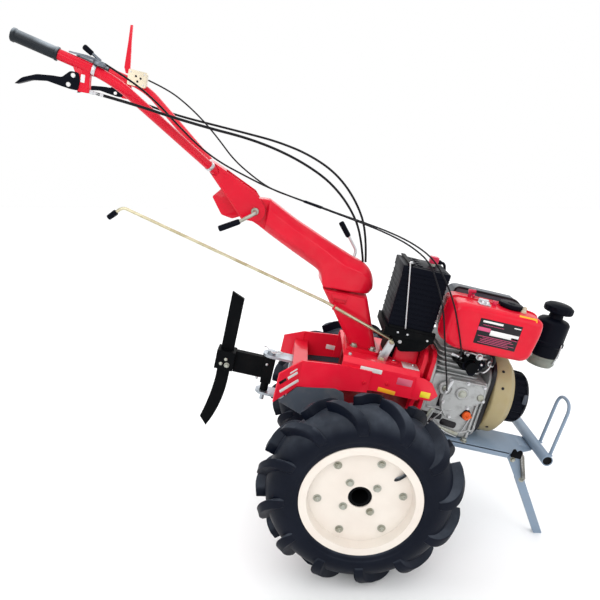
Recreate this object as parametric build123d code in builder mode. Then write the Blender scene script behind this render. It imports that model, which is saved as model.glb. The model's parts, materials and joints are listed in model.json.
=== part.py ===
"""Two-wheeled walking tractor with a diesel engine, a swivelling handlebar and a front stand.

Every piece is drawn in the machine's own level frame: X forward, Y to the left, Z up, with the
origin at the middle of the wheel axle. STANCE then tips the machine nose down onto its front
stand, and puts the origin on the floor under the middle of the machine. The handlebar's pieces
are drawn straight behind the machine, and TURN swivels them to where they stand. Millimetres.
"""

import os
from math import cos, radians, sin, tan

from build123d import *

os.makedirs("parts", exist_ok=True)

# ---------------------------------------------------------------- driving sizes
PARK_PITCH = 13.0  # nose-down angle on the stand, degrees
ORIGIN_X = -82.7  # middle of the machine's length, from the axle
ORIGIN_Y = -3.6  # middle of the machine's width
RUNNING = 0.05  # radial clearance of a shaft that turns
SEAT = 0.3  # gap between pieces that rest on each other
BITE = 2.0  # how far a cut or a fused boss reaches past the face it starts from

# wheels, for 5.00-12 tyres
TYRE_R = 290.0
TYRE_W = 136.0
WHEEL_Y = 303.0  # tyre centre plane
SIDEWALL_BULGE = 3.0  # sidewall's belly inside the widest section
CROWN_DROP = 4.0
CROWN_W = 84.0
SHOULDER_DROP = 26.0
SHOULDER_W = 116.0
BEAD_R = 151.0
RIM_LIP_H = 18.0  # lip's height over the bead seat
RIM_W = 114.0
RIM_T = 4.0
DISC_INSET = 27.0  # disc face behind the rim's edge
DISH_W = 10.0  # sloping band between the flat disc and the bead seat
HUB_BORE_R = 33.0
HUB_FLANGE_R = 70.0
HUB_FLANGE_T = 8.0
HUB_TUBE_R = 32.0
HUB_SOCKET_R = 24.0
HUB_SOCKET_DEPTH = 60.0
AXLE_R = 16.0
AXLE_IN = 60.0  # shaft length inside the housing
HUB_GAP = 5.0  # between the hub and the housing's end

# transmission case and axle housing
CASE_HALF_W = 72.0
CASE_LOW_Z = -58.0
CASE_RIB = 7.0  # bolting rib round the case, at its parting plane
CASE_RIB_T = 12.0
HOUSING_R = 42.0
HOUSING_END_Y = 155.0
HOUSING_FLANGE_R = 62.0
HOUSING_FLANGE_T = 12.0

# red sheet body
DECK_Z = 310.0  # top of the deck
SHEET_T = 4.0
BODY_HALF_W = 125.0
BODY_SLOPE = 14.0  # bevel between deck and side
BODY_REAR_X = -112.0
BODY_FRONT_X = 122.0
BODY_LOW_Z = 224.0
BODY_NOSE = 14.0  # the side's front corner ahead of the deck
BODY_DRAWN = 40.0  # the section starts this much below the side and is cut to its slope
ARM_T = 5.0
ARM_REAR_X = -225.0
ARM_FRONT_X = -20.0
ARM_TOP_Z = 284.0
ARM_DROP = 13.0  # the plate's top falls this much to the wing
ARM_LOW_Z = 188.0
WING_BACK, WING_OUT = 60.0, 35.0
WING_TOP_DROP, WING_LOW_DROP = 40.0, 50.0
GUARD_T = 2.0
GUARD_LOW_Z = 96.0

# channel between the side plates, and the hitch on it
FRAME_X = -250.0  # rear face
FRAME_L = 44.0
FRAME_T = 6.0
FRAME_Z0, FRAME_Z1 = 84.0, 240.0
STAY = ((100.0, 190.0), (-96.0, 206.0), (-78.0, 120.0))  # channel end z to z, then two x, z
HITCH_PIN_X = -318.0
HITCH_PIN_R = 8.0
PIN_TAIL_R = 7.0  # turned-down free end
PIN_TAIL = 26.0
PIN_HEAD_R = 13.0
PIN_HEAD_T = 8.0
LUG_T = 8.0
LUG_HALF_W = 26.0
HITCH_UP_Z, HITCH_LOW_Z = 212.0, 92.0  # upper lug's underside and lower lug's top

# tine holder and depth bar behind the hitch
HOLDER_HALF_W = 18.0
WEB_HALF_W = 10.0
HOLDER_BLOCK_L = 34.0  # block round the hitch pin
CLAMP_L = 58.0  # block round the depth bar
CLAMP_HALF_W = 26.0
CLAMP_Z0, CLAMP_Z1 = 140.0, 202.0
HOLDER_LIFT, HOLDER_GAP = 30.0, 8.0  # block over the lower lug and under the upper one
DEPTH_X = -457.0
DEPTH_W = 40.0
DEPTH_T = 12.0
DEPTH_TOP_Z = 384.0
DEPTH_END_X, DEPTH_END_Z = -487.0, -62.0  # middle of the bar's lower end

# bell housing and engine, crankshaft lengthways
BELL_X1 = 160.0
BELL_HALF_W = 104.0
BELL_TOP_Z, BELL_LOW_Z = 376.0, 168.0
BELL_NECK = 26.0  # waist inside the flange
FLANGE_T = 12.0
FLANGE_SLOT_L, FLANGE_SLOT_W = 46.0, 9.0
FLANGE_SLOT_Y = (-56.0, -78.0)
FLANGE_SLOT_UP = 33.0  # slots' middle over the deck
ENGINE_X1 = 345.0
ENGINE_HALF_W = 104.0
CRANK_Z = 256.0
CRANKCASE_TOP = 312.0
CRANKCASE_BEVEL = 12.0
COVER_T = 9.0
COVER_BOSS_R = 17.0
CYLINDER_X = 236.0
CYLINDER_L, CYLINDER_W = 108.0, 144.0
FINS = 6
FIN_PITCH = 15.0
FIN_T = 4.0
FIN_START = 6.0  # lowest fin over the crankcase
FIN_OUT = 18.0
DRUM_FLANGE_R = 136.0
DRUM_FLANGE_T = 8.0
DRUM_R = 127.0
DRUM_X1 = 412.0
DRUM_BEVEL = 9.0
RECOIL_R = 84.0
RECOIL_X1 = 486.0
RECOIL_BEVEL = 12.0
RECOIL_SLOTS = 5
RECOIL_SLOT_L, RECOIL_SLOT_W, RECOIL_SLOT_PITCH = 60.0, 5.0, 15.0
RECOIL_SLOT_Y = -60.0
RECOIL_WALL = 10.0
PUMP_X = 252.0
PUMP_Z = 372.0
PUMP_R = 17.0

# tank, muffler cover and air cleaner
TANK_NEAR_Y, TANK_FAR_Y = -170.0, -22.0
TANK_X0, TANK_X1 = 138.0, 404.0
TANK_Z0, TANK_Z1 = 420.0, 556.0
TANK_CORNER = 24.0
TANK_BEVEL = 9.0
CAP_X, CAP_Y = 320.0, -95.0
CAP_R, CAP_H = 34.0, 13.0
CAP_NECK_R, CAP_NECK_H = 26.0, 3.0
MUFFLER_GAP = 20.0  # between tank and cover
MUFFLER_FAR_Y = 150.0
MUFFLER_X0, MUFFLER_X1 = 180.0, 402.0
MUFFLER_TOP_Z = 564.0
MUFFLER_FLAT_Y = 46.0  # from here the top slopes down to the far side
MUFFLER_FALL = 62.0
MUFFLER_SLOTS = 6
MUFFLER_SLOT_PITCH = 28.0
MUFFLER_SLOT_W, MUFFLER_SLOT_H, MUFFLER_SLOT_DEEP = 9.0, 56.0, 5.0
CLEANER_X, CLEANER_Y = 522.0, 30.0
CLEANER_R = 48.0
CLEANER_CAP_R = 44.0
CLEANER_LOW_Z, CLEANER_TOP_Z = 372.0, 580.0
INLET_H = 22.0

# battery on its pedestal
BATTERY_X0, BATTERY_X1 = -14.0, 124.0
BATTERY_Y0, BATTERY_Y1 = -112.0, 38.0
BATTERY_Z0, BATTERY_Z1 = 426.0, 612.0
BATTERY_RIBS = 9
RIB_DEPTH = 2.5
RIB_EDGE = 12.0  # grooves stop this far from the case's corners
LID_H = 22.0
TRAY_H = 24.0
TRAY_EDGE = 4.0
PEDESTAL_L, PEDESTAL_W = 86.0, 96.0
POST_R, POST_H = 9.0, 14.0
BATTERY_CORNER = 5.0
POSTS = ((82.0, -40.0, POST_H), (105.0, 5.0, POST_H / 2))  # x, y, height

# front frame, bumper and stand
BASE_Z = 118.0  # top of the engine's mounting plate
BASE_T = 6.0
BASE_X0, BASE_X1 = 190.0, 470.0
BASE_HALF_W = 118.0
BASE_LIP = 14.0
BASE_LIP_L = 220.0
BAR_X, BAR_Z = 557.0, 125.0
BAR_R = 17.0
BAR_WALL = 3.0
BAR_Y0, BAR_Y1 = -150.0, 120.0
TONGUE_X = 412.0  # ahead of this the plate is a tongue on its right side
TONGUE_FAR_Y = 14.0
TONGUE_CORNER_Y = -60.0  # its right corner is cut off from the stand to here
LOOP_R = 5.0
LOOP_Y0, LOOP_Y1 = -125.0, -45.0
LOOP_TOP_Z = 308.0
STAND_PIVOT_X, STAND_PIVOT_Z = 484.0, 92.0
STAND_PIN_R = 6.0
STAND_Y = -106.0
STAND_T = 5.0
STAND_LIP = 16.0  # folded edge along the leg's rear side
STAND_FOOT_W = 26.0
STAND_FOOT_X = 652.0
EAR_T = 5.0
EAR_GAP = 1.0
EAR_R = 13.0
SPRING_R = 7.0
SPRING_Y = -118.0
SPRING_TOP = (502.0, 104.0)  # x, z
SPRING_END = (529.0, 34.0)
SPRING_HOOK_R = 3.0

# steering column, and the beam that swivels on it
COLUMN_X = -147.0  # swivel axis
SWIVEL = 7.0  # the handlebar stands turned to the right by this, degrees
SEAM_Z = 477.0
SEAM_GAP = 5.5
COLUMN_TOP_L, COLUMN_TOP_W = 137.0, 122.0
COLUMN_ROUND = 16.0
FOOT_X = -52.0
FOOT_L, FOOT_W = 86.0, 92.0
FOOT_T = 12.0
FOOT_EDGE = 8.0
FOOT_BOLT_DX, FOOT_BOLT_DY = 58.0, 100.0
FOOT_BOLT_R = 5.0
SPINDLE_R = 20.0
SPINDLE_H = 46.0
BEAM_HALF_W = 46.0
BEAM_BEVEL = 15.0
BEAM_END_X = -425.0  # where the beam steps down to its narrow ear
PIVOT_X, PIVOT_Z = -462.0, 657.0
PIVOT_R = 8.0
BEAM_EAR_R = 34.0
BEAM_EAR_HALF_W = 24.0
SECTOR_R = 128.0
SECTOR_T = 8.0
SECTOR_HOLES = 5
SECTOR_HOLE_R = 4.0

# handlebar
CHEEK_T = 7.0
CHEEK_GAP = 5.5
CHEEK_R = 29.0
NECK_BEVEL = 5.0
NECK_X, NECK_Y, NECK_Z = -605.0, 26.0, 751.0
TUBE_R = 13.0
BEND_X, BEND_Y, BEND_Z = -845.0, 240.0, 913.0
BEND_RADIUS = 110.0
GRIP_END_X, GRIP_Y, GRIP_END_Z = -1050.0, 250.0, 950.0
GRIP_R = 16.5
GRIP_COLLAR_R = 19.0
GRIP_COLLAR_L = 6.0
GRIP_L = 95.0
GRIP_CAP_T = 4.0
LEVER_Y = 241.0
BRACKET_W = 32.0
LEVER_T = 8.0
THROTTLE_X = -872.0
THROTTLE_R = 15.0
THROTTLE_H = 11.0
BOX_X, BOX_Z = -868.0, 932.0
BOX_L, BOX_H, BOX_W = 54.0, 44.0, 28.0
BOX_Y = 218.0
STOP_LEVER_T = 8.0
LOCK_ROD_R = 5.0
LOCK_GRIP_R = 8.5
LOCK_GRIP_L = 62.0

# gear shift linkage
SHIFT_Y = -76.0
SHIFT_ROD_R = 4.5
SHIFT_ARM_T = 6.0
SHIFT_ARM_W = 17.0
SHIFT_KNOB_R = 8.5
SHIFT_BEND_X, SHIFT_BEND_Z = -201.0, 446.0  # where the rod turns down to its eye
SHIFT_EYE_X, SHIFT_EYE_Z = 20.0, 376.0
SHIFT_HOOK_X, SHIFT_HOOK_Z = -820.0, 584.0  # where its rear end turns down to the knob
SHIFT_FOOT_X, SHIFT_FOOT_L, SHIFT_FOOT_W, SHIFT_FOOT_H = 8.0, 26.0, 12.0, 24.0
GUIDE_X = -172.0
GUIDE_R = 10.0

# control cables, held at both ends: route points x, y, z
STOP_CABLE_R = 2.5
CLUTCH_CABLE_R = 3.5
CABLE_SIDES = 8
BEND_SHARE = 0.45  # part of a run that a bend may take at each end
STOP_CABLE = [
    (-862, 132, 935), (-792, 116, 922), (-727, 97, 894), (-666, 78, 859), (-609, 53, 819), (-555, 28, 776),
    (-494, 2, 746), (-430, -21, 722), (-360, -43, 716), (-288, -56, 710), (-216, -63, 702), (-143, -68, 695),
    (-70, -72, 686), (1, -78, 671), (64, -96, 645), (100, -144, 604), (132, -180, 553), (162, -184, 492),
    (188, -182, 437), (207, -160, 402), (212, -128, 381),
]
THROTTLE_CABLE = [
    (-823, -326, 938), (-769, -288, 914), (-721, -243, 881), (-674, -206, 841), (-623, -173, 802),
    (-566, -144, 772), (-501, -121, 752), (-434, -109, 734), (-364, -102, 723), (-293, -100, 714),
    (-222, -100, 705), (-151, -101, 696), (-81, -103, 685), (-12, -108, 668), (50, -123, 638),
    (80, -160, 588),
    (110, -181, 527), (133, -185, 459), (157, -180, 393), (185, -160, 330), (211, -125, 276),
]
RIGHT_CLUTCH_CABLE = [
    (-850, -328, 872), (-762, -311, 868), (-671, -286, 859), (-587, -242, 853), (-506, -193, 850),
    (-426, -145, 838), (-346, -99, 816), (-267, -59, 782), (-198, -29, 728), (-142, -9, 657),
    (-114, -3, 573),
]
LEFT_CLUTCH_CABLE = [
    (-909, 149, 872), (-830, 146, 861), (-735, 140, 855), (-636, 126, 854), (-538, 109, 853),
    (-440, 88, 851),
    (-343, 68, 837), (-252, 49, 804), (-178, 29, 743), (-124, 15, 662), (-104, 9, 571),
]

# ---------------------------------------------------------------- sizes that follow from others
RIM_LIP_R = BEAD_R + RIM_LIP_H
DISC_R = BEAD_R - DISH_W
ARM_Y = BODY_HALF_W + ARM_T  # outer face of the rear side plates, which lie on the body's sides

# ---------------------------------------------------------------- frames and helpers
STANCE = Location((-ORIGIN_X, -ORIGIN_Y, TYRE_R)) * Location((0, 0, 0), (0, PARK_PITCH, 0))
TURN = Location((COLUMN_X, 0, 0)) * Location((0, 0, 0), (0, 0, SWIVEL)) * Location((-COLUMN_X, 0, 0))
SIDES = ((-1, "right"), (1, "left"))


def floor_z(x):
    """Height of the floor in the machine's level frame, under the point x."""
    return (x * sin(radians(PARK_PITCH)) - TYRE_R) / cos(radians(PARK_PITCH))


def write(piece, name, turned=False):
    """Stand the piece in the parked stance and write it. A turned piece swivels with the handlebar."""
    placed = (STANCE * TURN if turned else STANCE) * piece
    placed.label = name
    export_step(placed, f"parts/{name}.step")


def side_plane(y):
    """An upright lengthwise plane at y; sketches on it are (x, z), and extrude goes to -Y."""
    return Plane.XZ.offset(-y)


# ---------------------------------------------------------------- wheels
def wheel_place(side):
    """Turns a wheel drawn about X so that its outer side faces away from the machine."""
    return Location((0, side * WHEEL_Y, 0), (0, 0, 90 * side))


def wheel(side, name):
    """One wheel, of tyre, rim and hub. side is -1 on the right and 1 on the left."""
    half_rim = RIM_W / 2
    disc_x = half_rim - DISC_INSET
    flange_x = disc_x - RIM_T

    with BuildPart() as tyre:
        # half the section, from the bead to the middle of the tread; x is outwards, y is the radius
        bead_x = half_rim - RIM_T - SEAT
        with BuildSketch():
            with BuildLine():
                Polyline((0, BEAD_R + SEAT), (bead_x, BEAD_R + SEAT), (bead_x, RIM_LIP_R))
                ThreePointArc(
                    (bead_x, RIM_LIP_R),
                    (TYRE_W / 2 - SIDEWALL_BULGE, (RIM_LIP_R + TYRE_R - SHOULDER_DROP) / 2 - 12),
                    (SHOULDER_W / 2 + 8, TYRE_R - SHOULDER_DROP - 16),
                )
                Polyline(
                    (SHOULDER_W / 2 + 8, TYRE_R - SHOULDER_DROP - 16),
                    (SHOULDER_W / 2, TYRE_R - SHOULDER_DROP),
                    (CROWN_W / 2, TYRE_R - CROWN_DROP), (0, TYRE_R), (0, BEAD_R + SEAT),
                )
            make_face()
            mirror(about=Plane.YZ)
        revolve(axis=Axis.X)
    write(wheel_place(side) * tyre.part, f"tyre_{name}")

    with BuildPart() as rim:
        # pressed from sheet: two lips, the bead seat between them, and the dished disc
        with BuildSketch():
            with BuildLine():
                Polyline(
                    (-half_rim, RIM_LIP_R), (-half_rim, BEAD_R - RIM_T), (flange_x, BEAD_R - RIM_T),
                    (flange_x, HUB_BORE_R), (disc_x, HUB_BORE_R), (disc_x, DISC_R),
                    (half_rim, BEAD_R - RIM_T),
                    (half_rim, RIM_LIP_R), (half_rim - RIM_T, RIM_LIP_R), (half_rim - RIM_T, BEAD_R),
                    (RIM_T - half_rim, BEAD_R), (RIM_T - half_rim, RIM_LIP_R), close=True,
                )
            make_face()
        revolve(axis=Axis.X)
    write(wheel_place(side) * rim.part, f"rim_{name}")

    with BuildPart() as hub:
        # bolting flange, tube and half shaft, with the socket that shows through the disc
        tube_end = HOUSING_END_Y + HUB_GAP - WHEEL_Y
        shaft_end = HOUSING_END_Y - AXLE_IN - WHEEL_Y
        with BuildSketch():
            with BuildLine():
                Polyline(
                    (flange_x, HUB_SOCKET_R), (flange_x, HUB_FLANGE_R),
                    (flange_x - HUB_FLANGE_T, HUB_FLANGE_R),
                    (flange_x - HUB_FLANGE_T, HUB_TUBE_R), (tube_end, HUB_TUBE_R), (tube_end, AXLE_R),
                    (shaft_end, AXLE_R), (shaft_end, 0), (flange_x - HUB_SOCKET_DEPTH, 0),
                    (flange_x - HUB_SOCKET_DEPTH, HUB_SOCKET_R), close=True,
                )
            make_face()
        revolve(axis=Axis.X)
    write(wheel_place(side) * hub.part, f"hub_{name}")


for side, name in SIDES:
    wheel(side, name)

# ---------------------------------------------------------------- transmission
with BuildPart() as gearbox:
    with BuildSketch(Plane.XZ) as case_side:
        with BuildLine():
            Polyline(
                (-52, -34), (-66, 40), (-78, 120), (-96, 206), (-96, DECK_Z - SHEET_T),
                (BODY_FRONT_X, DECK_Z - SHEET_T), (BODY_FRONT_X, 120), (60, 20), (44, -36),
            )
            ThreePointArc((44, -36), (-4, CASE_LOW_Z), (-52, -34))
        make_face()
    extrude(amount=CASE_HALF_W, both=True)
    # the rib where the two halves of the case bolt together; it stays under the deck and behind the bell
    with BuildSketch(Plane.XZ):
        offset(case_side.sketch, amount=CASE_RIB)
        with Locations((0, DECK_Z - SHEET_T)):
            Rectangle(600, 200, align=(Align.CENTER, Align.MIN), mode=Mode.SUBTRACT)
        with Locations((BODY_FRONT_X, 0)):
            Rectangle(200, 900, align=(Align.MIN, Align.CENTER), mode=Mode.SUBTRACT)
    extrude(amount=CASE_RIB_T / 2, both=True)
    # axle housing with its flanges against the case
    for radius, reach in ((HOUSING_R, HOUSING_END_Y), (HOUSING_FLANGE_R, CASE_HALF_W + HOUSING_FLANGE_T)):
        with BuildSketch(Plane.XZ):
            Circle(radius)
        extrude(amount=reach, both=True)
    for side, _ in SIDES:
        with BuildSketch(side_plane(side * HOUSING_END_Y)):
            Circle(AXLE_R + RUNNING)
        extrude(amount=side * (AXLE_IN + BITE), mode=Mode.SUBTRACT)
write(gearbox.part, "gearbox_case")

with BuildPart() as body:
    # deck and sides folded from sheet, open below and at both ends
    with BuildSketch(Plane.YZ.offset(BODY_REAR_X)):
        with BuildLine():
            Polyline(
                (-BODY_HALF_W, BODY_LOW_Z - BODY_DRAWN / 2), (-BODY_HALF_W, DECK_Z - BODY_SLOPE),
                (-BODY_HALF_W + BODY_SLOPE, DECK_Z), (BODY_HALF_W - BODY_SLOPE, DECK_Z),
                (BODY_HALF_W, DECK_Z - BODY_SLOPE), (BODY_HALF_W, BODY_LOW_Z - BODY_DRAWN / 2), close=True,
            )
        make_face()
    extrude(amount=BODY_FRONT_X + BODY_NOSE - BODY_REAR_X)
    with BuildSketch(Plane.YZ.offset(BODY_REAR_X - BITE)):
        with BuildLine():
            Polyline(
                (-BODY_HALF_W + SHEET_T, BODY_LOW_Z - BODY_DRAWN),
                (-BODY_HALF_W + SHEET_T, DECK_Z - BODY_SLOPE),
                (-BODY_HALF_W + BODY_SLOPE, DECK_Z - SHEET_T), (BODY_HALF_W - BODY_SLOPE, DECK_Z - SHEET_T),
                (BODY_HALF_W - SHEET_T, DECK_Z - BODY_SLOPE),
                (BODY_HALF_W - SHEET_T, BODY_LOW_Z - BODY_DRAWN), close=True,
            )
        make_face()
    extrude(amount=BODY_FRONT_X + BODY_NOSE - BODY_REAR_X + 2 * BITE, mode=Mode.SUBTRACT)
    # lower edges rise to the rear and front, and the nose slopes back to the deck
    with BuildSketch(side_plane(0)):
        with BuildLine():
            nose_x = BODY_FRONT_X + BODY_NOSE
            Polyline(
                (BODY_REAR_X - BITE, BODY_LOW_Z - BODY_DRAWN), (BODY_REAR_X - BITE, BODY_LOW_Z - 16),
                (0, BODY_LOW_Z),
                (nose_x, BODY_LOW_Z), (nose_x, BODY_LOW_Z + 12), (BODY_FRONT_X, DECK_Z - 26),
                (BODY_FRONT_X, DECK_Z + BITE), (nose_x + BITE, DECK_Z + BITE),
                (nose_x + BITE, BODY_LOW_Z - BODY_DRAWN),
                close=True,
            )
        make_face()
    extrude(amount=BODY_HALF_W + BITE, both=True, mode=Mode.SUBTRACT)
write(body.part, "body_cover")


def side_plate(side):
    """One rear side plate, with its wing bent outwards and sloping down to the rear."""
    outer = side * ARM_Y
    wing_dir = Vector(-WING_BACK, side * WING_OUT, 0).normalized()
    wing_plane = Plane(origin=(ARM_REAR_X, outer, 0), x_dir=wing_dir, z_dir=(wing_dir.Y, -wing_dir.X, 0))
    wing_l = (WING_BACK**2 + WING_OUT**2) ** 0.5
    wing_top = ARM_TOP_Z - ARM_DROP
    with BuildPart() as plate:
        with BuildSketch(side_plane(outer + ARM_T if side < 0 else outer)):
            with BuildLine():
                Polyline(
                    (ARM_REAR_X, wing_top), (BODY_REAR_X, ARM_TOP_Z), (ARM_FRONT_X, ARM_TOP_Z),
                    (ARM_FRONT_X, 216), (BODY_REAR_X, 203), (ARM_REAR_X, ARM_LOW_Z), close=True,
                )
            make_face()
        extrude(amount=ARM_T)
        with BuildSketch(wing_plane):
            with BuildLine():
                Polyline(
                    (-ARM_T, wing_top), (0, wing_top), (wing_l, wing_top - WING_TOP_DROP),
                    (wing_l, ARM_LOW_Z - WING_LOW_DROP), (0, ARM_LOW_Z), (-ARM_T, ARM_LOW_Z), close=True,
                )
            make_face()
        extrude(amount=-side * ARM_T)
    return plate.part


def mudguard(side):
    """Flat guard hung outside the side plate, between tyre and wing."""
    outer = side * ARM_Y
    with BuildPart() as guard:
        with BuildSketch(side_plane(outer - SEAT if side < 0 else outer + SEAT + GUARD_T)):
            with BuildLine():
                Polyline(
                    (ARM_REAR_X - 22, ARM_LOW_Z - 40), (ARM_REAR_X + 4, ARM_LOW_Z + 12),
                    (BODY_REAR_X - 2, 212),
                    (BODY_REAR_X - 2, GUARD_LOW_Z + 24), (ARM_REAR_X + 45, GUARD_LOW_Z), close=True,
                )
            make_face()
        extrude(amount=GUARD_T)
    return guard.part


plates = side_plate(-1) + side_plate(1)
write(plates, "side_plates")
write(mudguard(-1) + mudguard(1) - plates, "mudguards")

with BuildPart() as hitch_frame:
    # channel across the two side plates, open to the front
    with BuildSketch(side_plane(0)):
        with Locations((FRAME_X, (FRAME_Z0 + FRAME_Z1) / 2)):
            Rectangle(FRAME_L, FRAME_Z1 - FRAME_Z0, align=(Align.MIN, Align.CENTER))
        with Locations((FRAME_X + FRAME_T, (FRAME_Z0 + FRAME_Z1) / 2)):
            Rectangle(
                FRAME_L, FRAME_Z1 - FRAME_Z0 - 2 * FRAME_T,
                align=(Align.MIN, Align.CENTER), mode=Mode.SUBTRACT
            )
    extrude(amount=ARM_Y - ARM_T - SEAT, both=True)
    # stays that carry the channel from the transmission case
    for y in (-CASE_HALF_W + FRAME_T, CASE_HALF_W):
        with BuildSketch(side_plane(y)):
            with BuildLine():
                Polyline(
                    (FRAME_X + FRAME_T, STAY[0][0]), (FRAME_X + FRAME_T, STAY[0][1]), *STAY[1:], close=True,
                )
            make_face()
        extrude(amount=FRAME_T)
write(hitch_frame.part - plates, "hitch_frame")

# ---------------------------------------------------------------- hitch, tine holder and depth bar
with BuildPart() as clevis:
    for z in (HITCH_UP_Z, HITCH_LOW_Z - LUG_T):
        with BuildSketch(Plane.XY.offset(z)):
            with Locations((FRAME_X, 0)):
                Rectangle(FRAME_X - HITCH_PIN_X, 2 * LUG_HALF_W, align=(Align.MAX, Align.CENTER))
            with Locations((HITCH_PIN_X, 0)):
                Circle(LUG_HALF_W)
                Circle(HITCH_PIN_R, mode=Mode.SUBTRACT)
        extrude(amount=LUG_T)
    with BuildSketch(Plane.YZ.offset(FRAME_X)):
        with Locations((0, (HITCH_UP_Z + HITCH_LOW_Z) / 2)):
            Rectangle(2 * LUG_HALF_W, HITCH_UP_Z - HITCH_LOW_Z + 2 * LUG_T)
    extrude(amount=-FRAME_T)
write(clevis.part, "hitch_clevis")

with BuildPart() as pin:
    # head, shank through both lugs, and the turned-down tail below them
    lower, upper = HITCH_LOW_Z - LUG_T, HITCH_UP_Z + LUG_T
    for z, radius, length in (
        (lower - PIN_TAIL, PIN_TAIL_R, PIN_TAIL), (lower, HITCH_PIN_R, upper - lower),
        (upper, PIN_HEAD_R, PIN_HEAD_T),
    ):
        with BuildSketch(Plane.XY.offset(z)):
            with Locations((HITCH_PIN_X, 0)):
                Circle(radius)
        extrude(amount=length)
write(pin.part, "hitch_pin")

with BuildPart() as holder:
    # block round the hitch pin, web, and the clamp round the depth bar
    block_x0 = HITCH_PIN_X - HOLDER_BLOCK_L / 2
    clamp_x1 = DEPTH_X + CLAMP_L / 2
    for x0, x1, z0, z1, half_w in (
        (
            block_x0, block_x0 + HOLDER_BLOCK_L, HITCH_LOW_Z + HOLDER_LIFT, HITCH_UP_Z - HOLDER_GAP,
            HOLDER_HALF_W,
        ),
        (clamp_x1, block_x0, CLAMP_Z0 - 6, CLAMP_Z1 + 2, WEB_HALF_W),
        (clamp_x1 - CLAMP_L, clamp_x1, CLAMP_Z0, CLAMP_Z1, CLAMP_HALF_W),
    ):
        with BuildSketch(side_plane(half_w)):
            with Locations(((x0 + x1) / 2, (z0 + z1) / 2)):
                Rectangle(x1 - x0, z1 - z0)
        extrude(amount=2 * half_w)
    with BuildSketch(Plane.XY.offset(HITCH_LOW_Z)):
        with Locations((HITCH_PIN_X, 0)):
            Circle(HITCH_PIN_R + SEAT)
    extrude(amount=HITCH_UP_Z - HITCH_LOW_Z, mode=Mode.SUBTRACT)
    with BuildSketch(side_plane(DEPTH_T / 2)):
        with Locations((DEPTH_X, (CLAMP_Z0 + CLAMP_Z1) / 2)):
            Rectangle(DEPTH_W, CLAMP_Z1 - CLAMP_Z0 + 2 * BITE)
    extrude(amount=DEPTH_T, mode=Mode.SUBTRACT)
    # the block rests on the lower lug through a spacer collar
    with BuildSketch(Plane.XY.offset(HITCH_LOW_Z)):
        with Locations((HITCH_PIN_X, 0)):
            Circle(PIN_HEAD_R)
            Circle(HITCH_PIN_R + SEAT, mode=Mode.SUBTRACT)
    extrude(amount=HOLDER_LIFT + BITE)
write(holder.part, "tine_holder")

with BuildPart() as depth_bar:
    # flat bar, straight through the clamp and curving back to its toe
    with BuildSketch(side_plane(DEPTH_T / 2)):
        x0, x1 = DEPTH_X - DEPTH_W / 2, DEPTH_X + DEPTH_W / 2
        toe_dx, toe_dz = DEPTH_W * cos(radians(45)) / 2, DEPTH_W * sin(radians(45)) / 2
        front_toe = (DEPTH_END_X + toe_dx - 4, DEPTH_END_Z - toe_dz)
        rear_toe = (DEPTH_END_X - toe_dx, DEPTH_END_Z + toe_dz)
        with BuildLine():
            Polyline((x0, 100), (x0, DEPTH_TOP_Z + 8), (x1, DEPTH_TOP_Z - 8), (x1, 100))
            ThreePointArc((x1, 100), (x1 - 8, 20), front_toe)
            Line(front_toe, rear_toe)
            ThreePointArc(rear_toe, (x0 - 8, 28), (x0, 100))
        make_face()
    extrude(amount=DEPTH_T)
write(depth_bar.part, "depth_bar")

# ---------------------------------------------------------------- bell housing
with BuildPart() as bell:
    bell_h, bell_z = BELL_TOP_Z - BELL_LOW_Z, (BELL_TOP_Z + BELL_LOW_Z) / 2
    # two bolting flanges with a waist between them
    for x, length, inset in (
        (BODY_FRONT_X, FLANGE_T, 0),
        (BODY_FRONT_X + FLANGE_T, BELL_X1 - BODY_FRONT_X - 2 * FLANGE_T, BELL_NECK),
        (BELL_X1 - FLANGE_T, FLANGE_T, 0),
    ):
        with BuildSketch(Plane.YZ.offset(x)):
            with Locations((0, bell_z)):
                RectangleRounded(2 * (BELL_HALF_W - inset), bell_h - 2 * inset, 34 - inset / 2)
        extrude(amount=length)
    # slots in the rear flange, above the deck
    with BuildSketch(Plane.YZ.offset(BODY_FRONT_X - BITE)):
        with Locations([(y, DECK_Z + FLANGE_SLOT_UP) for y in FLANGE_SLOT_Y]):
            Rectangle(FLANGE_SLOT_W, FLANGE_SLOT_L)
    extrude(amount=FLANGE_T + BITE, mode=Mode.SUBTRACT)
write(bell.part, "bell_housing")

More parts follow.
